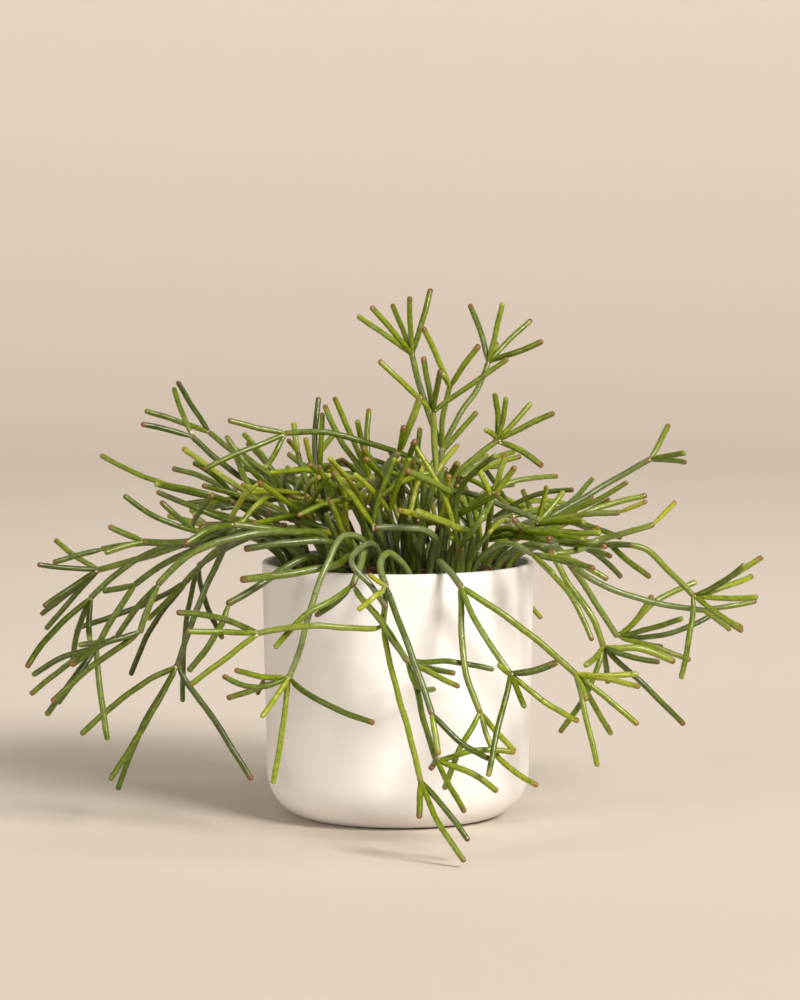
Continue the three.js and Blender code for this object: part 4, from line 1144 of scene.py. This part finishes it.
class Nodes:
    """A material's nodes, with short ways to make and join them."""

    def __init__(self, name):
        self.material = bpy.data.materials.new(name)
        self.material.use_nodes = True
        self.tree = self.material.node_tree
        self.shader = self.tree.nodes["Principled BSDF"]

    def join(self, value, socket):
        """Links a node's output, or sets a plain value."""
        if isinstance(value, bpy.types.NodeSocket):
            self.tree.links.new(value, socket)
        else:
            socket.default_value = value

    def node(self, kind, inputs=None, **settings):
        node = self.tree.nodes.new("ShaderNode" + kind)
        for key, value in settings.items():
            setattr(node, key, value)
        for key, value in (inputs or {}).items():
            self.join(value, node.inputs[key])
        return node

    def attribute(self, name):
        return self.node("Attribute", attribute_name=name)

    def red(self, name):
        """The first number of a colour attribute."""
        return self.split(self.attribute(name))["Red"]

    def split(self, attribute):
        return self.node("SeparateColor", {"Color": attribute.outputs["Color"]}).outputs

    def grain(self):
        return self.attribute("grain").outputs["Vector"]

    def math(self, operation, a, b):
        return self.node("Math", {0: a, 1: b}, operation=operation).outputs[0]

    def plus(self, a, b):
        return self.math("ADD", a, b)

    def times(self, a, b):
        return self.math("MULTIPLY", a, b)

    def scaled(self, vector, scale):
        node = self.node("VectorMath", {0: vector, 1: scale}, operation="MULTIPLY")
        return node.outputs["Vector"]

    def noise(self, vector, scale, detail, roughness=0.55):
        inputs = {"Vector": vector, "Scale": scale, "Detail": detail, "Roughness": roughness}
        return self.node("TexNoise", inputs).outputs["Fac"]

    def ramp(self, value, stops):
        """A stop is its place and its colour on the screen."""
        node = self.node("ValToRGB", {"Fac": value})
        elements = node.color_ramp.elements
        while len(elements) < len(stops):
            elements.new(0.5)
        for element, (place, *levels) in zip(elements, stops):
            element.position, element.color = place, srgb(*levels)
        return node.outputs["Color"]

    def levels(self, value, low, high, to_low, to_high):
        inputs = {"Value": value, "From Min": low, "From Max": high, "To Min": to_low, "To Max": to_high}
        return self.node("MapRange", inputs).outputs["Result"]

    def mix(self, share, a, b):
        node = self.node("Mix", data_type="RGBA")
        for index, value in ((0, share), (6, a), (7, b)):
            self.join(value, node.inputs[index])
        return node.outputs[2]

    def bump(self, height, distance, strength=1.0):
        inputs = {"Height": height, "Distance": distance, "Strength": strength}
        return self.node("Bump", inputs).outputs["Normal"]

    def set(self, **values):
        for key, value in values.items():
            self.join(value, self.shader.inputs[key.replace("_", " ")])
        return self.material


def stem_material():
    n = Nodes("stem_green_fine")
    look = n.attribute("look")
    parts = n.split(look)
    tone, age, tip, base = parts["Red"], parts["Green"], parts["Blue"], look.outputs["Alpha"]
    grain = n.grain()
    mottle = n.noise(grain, 0.35, 3.0)
    streak = n.noise(n.scaled(grain, (1.6, 1.6, 0.12)), 1.0, 3.0)
    fine = n.noise(grain, 2.6, 2.0)
    shade = n.plus(tone, n.levels(mottle, 0.3, 0.7, -0.12, 0.12))
    shade = n.plus(shade, n.levels(streak, 0.35, 0.65, -0.07, 0.07))
    green = n.ramp(shade, [(0.0, 34, 46, 4), (0.35, 75, 92, 8), (0.7, 121, 138, 15), (1.0, 163, 168, 44)])
    old = n.ramp(fine, [(0.3, 80, 94, 50), (0.7, 126, 138, 94)])
    colour = n.mix(n.times(age, n.levels(mottle, 0.35, 0.6, 0.45, 1.0)), green, old)
    fresh, dry = n.math("MAXIMUM", n.times(tip, -1.0), 0.0), n.math("MAXIMUM", tip, 0.0)
    colour = n.mix(fresh, colour, srgb(150, 156, 62))
    brown = n.ramp(mottle, [(0.4, 104, 56, 36), (0.6, 152, 80, 64)])
    colour = n.mix(n.times(dry, 0.9), colour, brown)
    colour = n.mix(n.times(base, 0.7), colour, srgb(204, 190, 146))
    rough = n.levels(fine, 0.3, 0.7, 0.2, 0.32)
    normal = n.bump(n.plus(n.times(fine, 0.5), streak), 0.00018, 0.7)
    return n.set(Base_Color=colour, Roughness=rough, Normal=normal, IOR=1.5)


def areole_material():
    n = Nodes("areole_brown")
    colour = n.ramp(n.red("look"), [(0.0, 40, 36, 14), (0.7, 70, 58, 26), (1.0, 128, 108, 66)])
    return n.set(Base_Color=colour, Roughness=0.85)


def wool_material():
    n = Nodes("wool_cream")
    colour = n.ramp(n.red("look"), [(0.0, 196, 180, 140), (1.0, 236, 228, 204)])
    normal = n.bump(n.noise(n.grain(), 6.0, 3.0), 0.0003)
    return n.set(Base_Color=colour, Roughness=0.95, Normal=normal)


def pot_material():
    n = Nodes("pot_white_fine")
    grain = n.grain()
    broad, fine = n.noise(grain, 0.02, 2.0), n.noise(grain, 0.9, 4.0)
    colour = n.ramp(broad, [(0.3, 231, 229, 227), (0.7, 236, 234, 232)])
    rough = n.levels(fine, 0.3, 0.7, 0.38, 0.46)
    normal = n.bump(n.plus(n.times(fine, 0.2), n.noise(grain, 0.06, 2.0)), 0.0004, 0.5)
    return n.set(Base_Color=colour, Roughness=rough, Normal=normal, IOR=1.5)


def mix_material():
    n = Nodes("mix_dark")
    tone, grain = n.red("look"), n.grain()
    crumb, fine = n.noise(grain, 0.5, 5.0, 0.65), n.noise(grain, 2.4, 4.0)
    shade = n.plus(n.times(tone, 0.4), n.times(crumb, 0.6))
    colour = n.ramp(shade, [(0.25, 38, 28, 20), (0.5, 66, 48, 34), (0.75, 98, 74, 52)])
    normal = n.bump(n.plus(crumb, n.times(fine, 0.4)), 0.0016)
    return n.set(Base_Color=colour, Roughness=0.95, Normal=normal)


def bark_material():
    n = Nodes("mix_bark")
    tone, grain = n.red("look"), n.grain()
    layers = n.noise(n.scaled(grain, (0.5, 0.5, 2.2)), 1.0, 5.0, 0.6)
    shade = n.plus(n.times(tone, 0.7), n.levels(layers, 0.3, 0.7, -0.1, 0.35))
    stops = [(0.0, 48, 34, 24), (0.4, 88, 62, 42), (0.75, 132, 98, 66), (1.0, 164, 130, 92)]
    normal = n.bump(layers, 0.0012)
    return n.set(Base_Color=n.ramp(shade, stops), Roughness=0.9, Normal=normal)


def pale_material():
    n = Nodes("mix_pale")
    pores = n.noise(n.grain(), 2.0, 4.0)
    colour = n.ramp(pores, [(0.35, 176, 166, 148), (0.6, 226, 220, 206)])
    return n.set(Base_Color=colour, Roughness=0.9, Normal=n.bump(pores, 0.0006))


# The surroundings, in metres: a round floor that sweeps up into a wall on every side, so that each view has a
# plain ground
FLOOR_RADIUS = 2.3
SWEEP_RADIUS = 1.6
SWEEP_STEPS = 25
WALL_HEIGHT = 1.8
STAGE_SIDES = 96
PAPER_RISE = (0.0, 0.6)  # the heights between which the paper grows lighter, as the wall gets less light
# Each light: its name, where it stands, where it points, its width and its power in watts
LIGHTS = [
    ("key", (3.1, -3.8, 3.13), (0, 0, 0.12), 2.1, 462),
    ("fill", (-2.2, -2.4, 1.1), (0, 0, 0.12), 1.3, 28),
    ("backdrop", (0, 0.9, 2.3), (0, 3, 0), 2.5, 27),
]
WARM = (1, 0.955, 0.9)
SKY = 0.04
SKY_COLOUR = (1, 0.97, 0.93, 1)

CAMERA_AT = (0.00104, -2.5, 0.387)
CAMERA_PITCH = 5.085  # degrees below the horizon
CAMERA_LENS = 174.5
SENSOR_WIDTH = 36


def stage_piece():
    sweep = [(math.sin(t), 1 - math.cos(t)) for t in np.linspace(0, math.pi / 2, SWEEP_STEPS)]
    profile = [(FLOOR_RADIUS + SWEEP_RADIUS * out, SWEEP_RADIUS * up) for out, up in sweep]
    profile.append((FLOOR_RADIUS + SWEEP_RADIUS, WALL_HEIGHT))
    turns = [2 * math.pi * i / STAGE_SIDES for i in range(STAGE_SIDES)]
    points = [(0, 0, 0)]
    points += [(out * math.cos(turn), out * math.sin(turn), z) for out, z in profile for turn in turns]
    faces = []
    for i in range(STAGE_SIDES):
        j = (i + 1) % STAGE_SIDES
        faces.append((0, 1 + i, 1 + j))
        for ring in range(len(profile) - 1):
            low, high = 1 + ring * STAGE_SIDES, 1 + (ring + 1) * STAGE_SIDES
            faces.append((low + i, high + i, high + j, low + j))
    mesh = bpy.data.meshes.new("studio_floor")
    mesh.from_pydata(points, [], faces)
    mesh.shade_smooth()
    raised = mesh.attributes.new("raised", "FLOAT_COLOR", "POINT")
    shares = np.repeat(smooth(*PAPER_RISE, np.array([z for _, _, z in points])), 4)
    raised.data.foreach_set("color", shares.astype(np.float32))
    n = Nodes("studio_paper")
    paper = n.mix(n.red("raised"), srgb(217, 207, 195), srgb(224, 213, 200))
    mesh.materials.append(n.set(Base_Color=paper, Roughness=0.9, Specular_IOR_Level=0.2))
    placed("studio_floor", mesh)


def area_light(name, place, aim, size, power):
    light = bpy.data.lights.new(name, "AREA")
    light.shape, light.size, light.energy, light.color = "DISK", size, power, WARM
    lamp = placed(name, light)
    lamp.location = place
    lamp.rotation_euler = (Vector(aim) - Vector(place)).to_track_quat("-Z", "Y").to_euler()
    lamp.visible_camera = False


def surroundings():
    stage_piece()
    for light in LIGHTS:
        area_light(*light)
    world = bpy.data.worlds.new("soft_sky")
    world.use_nodes = True
    sky = world.node_tree.nodes["Background"].inputs
    sky["Color"].default_value, sky["Strength"].default_value = SKY_COLOUR, SKY
    bpy.context.scene.world = world
    bpy.context.scene.view_settings.view_transform = "Standard"
    camera = bpy.data.cameras.new("camera")
    camera.lens, camera.sensor_width = CAMERA_LENS, SENSOR_WIDTH
    eye = placed("camera", camera)
    eye.location = CAMERA_AT
    eye.rotation_euler = (math.radians(90 - CAMERA_PITCH), 0, 0)
    bpy.context.scene.camera = eye


skeleton, shoot_names = grown_skeleton()
Filling(skeleton).grow()
green = [stem_material(), areole_material(), wool_material()]
for shoot, name in enumerate(shoot_names):
    stem_piece(skeleton, name, shoot, green)
pot_piece(pot_material())
soil_piece([mix_material(), bark_material(), pale_material()])
surroundings()
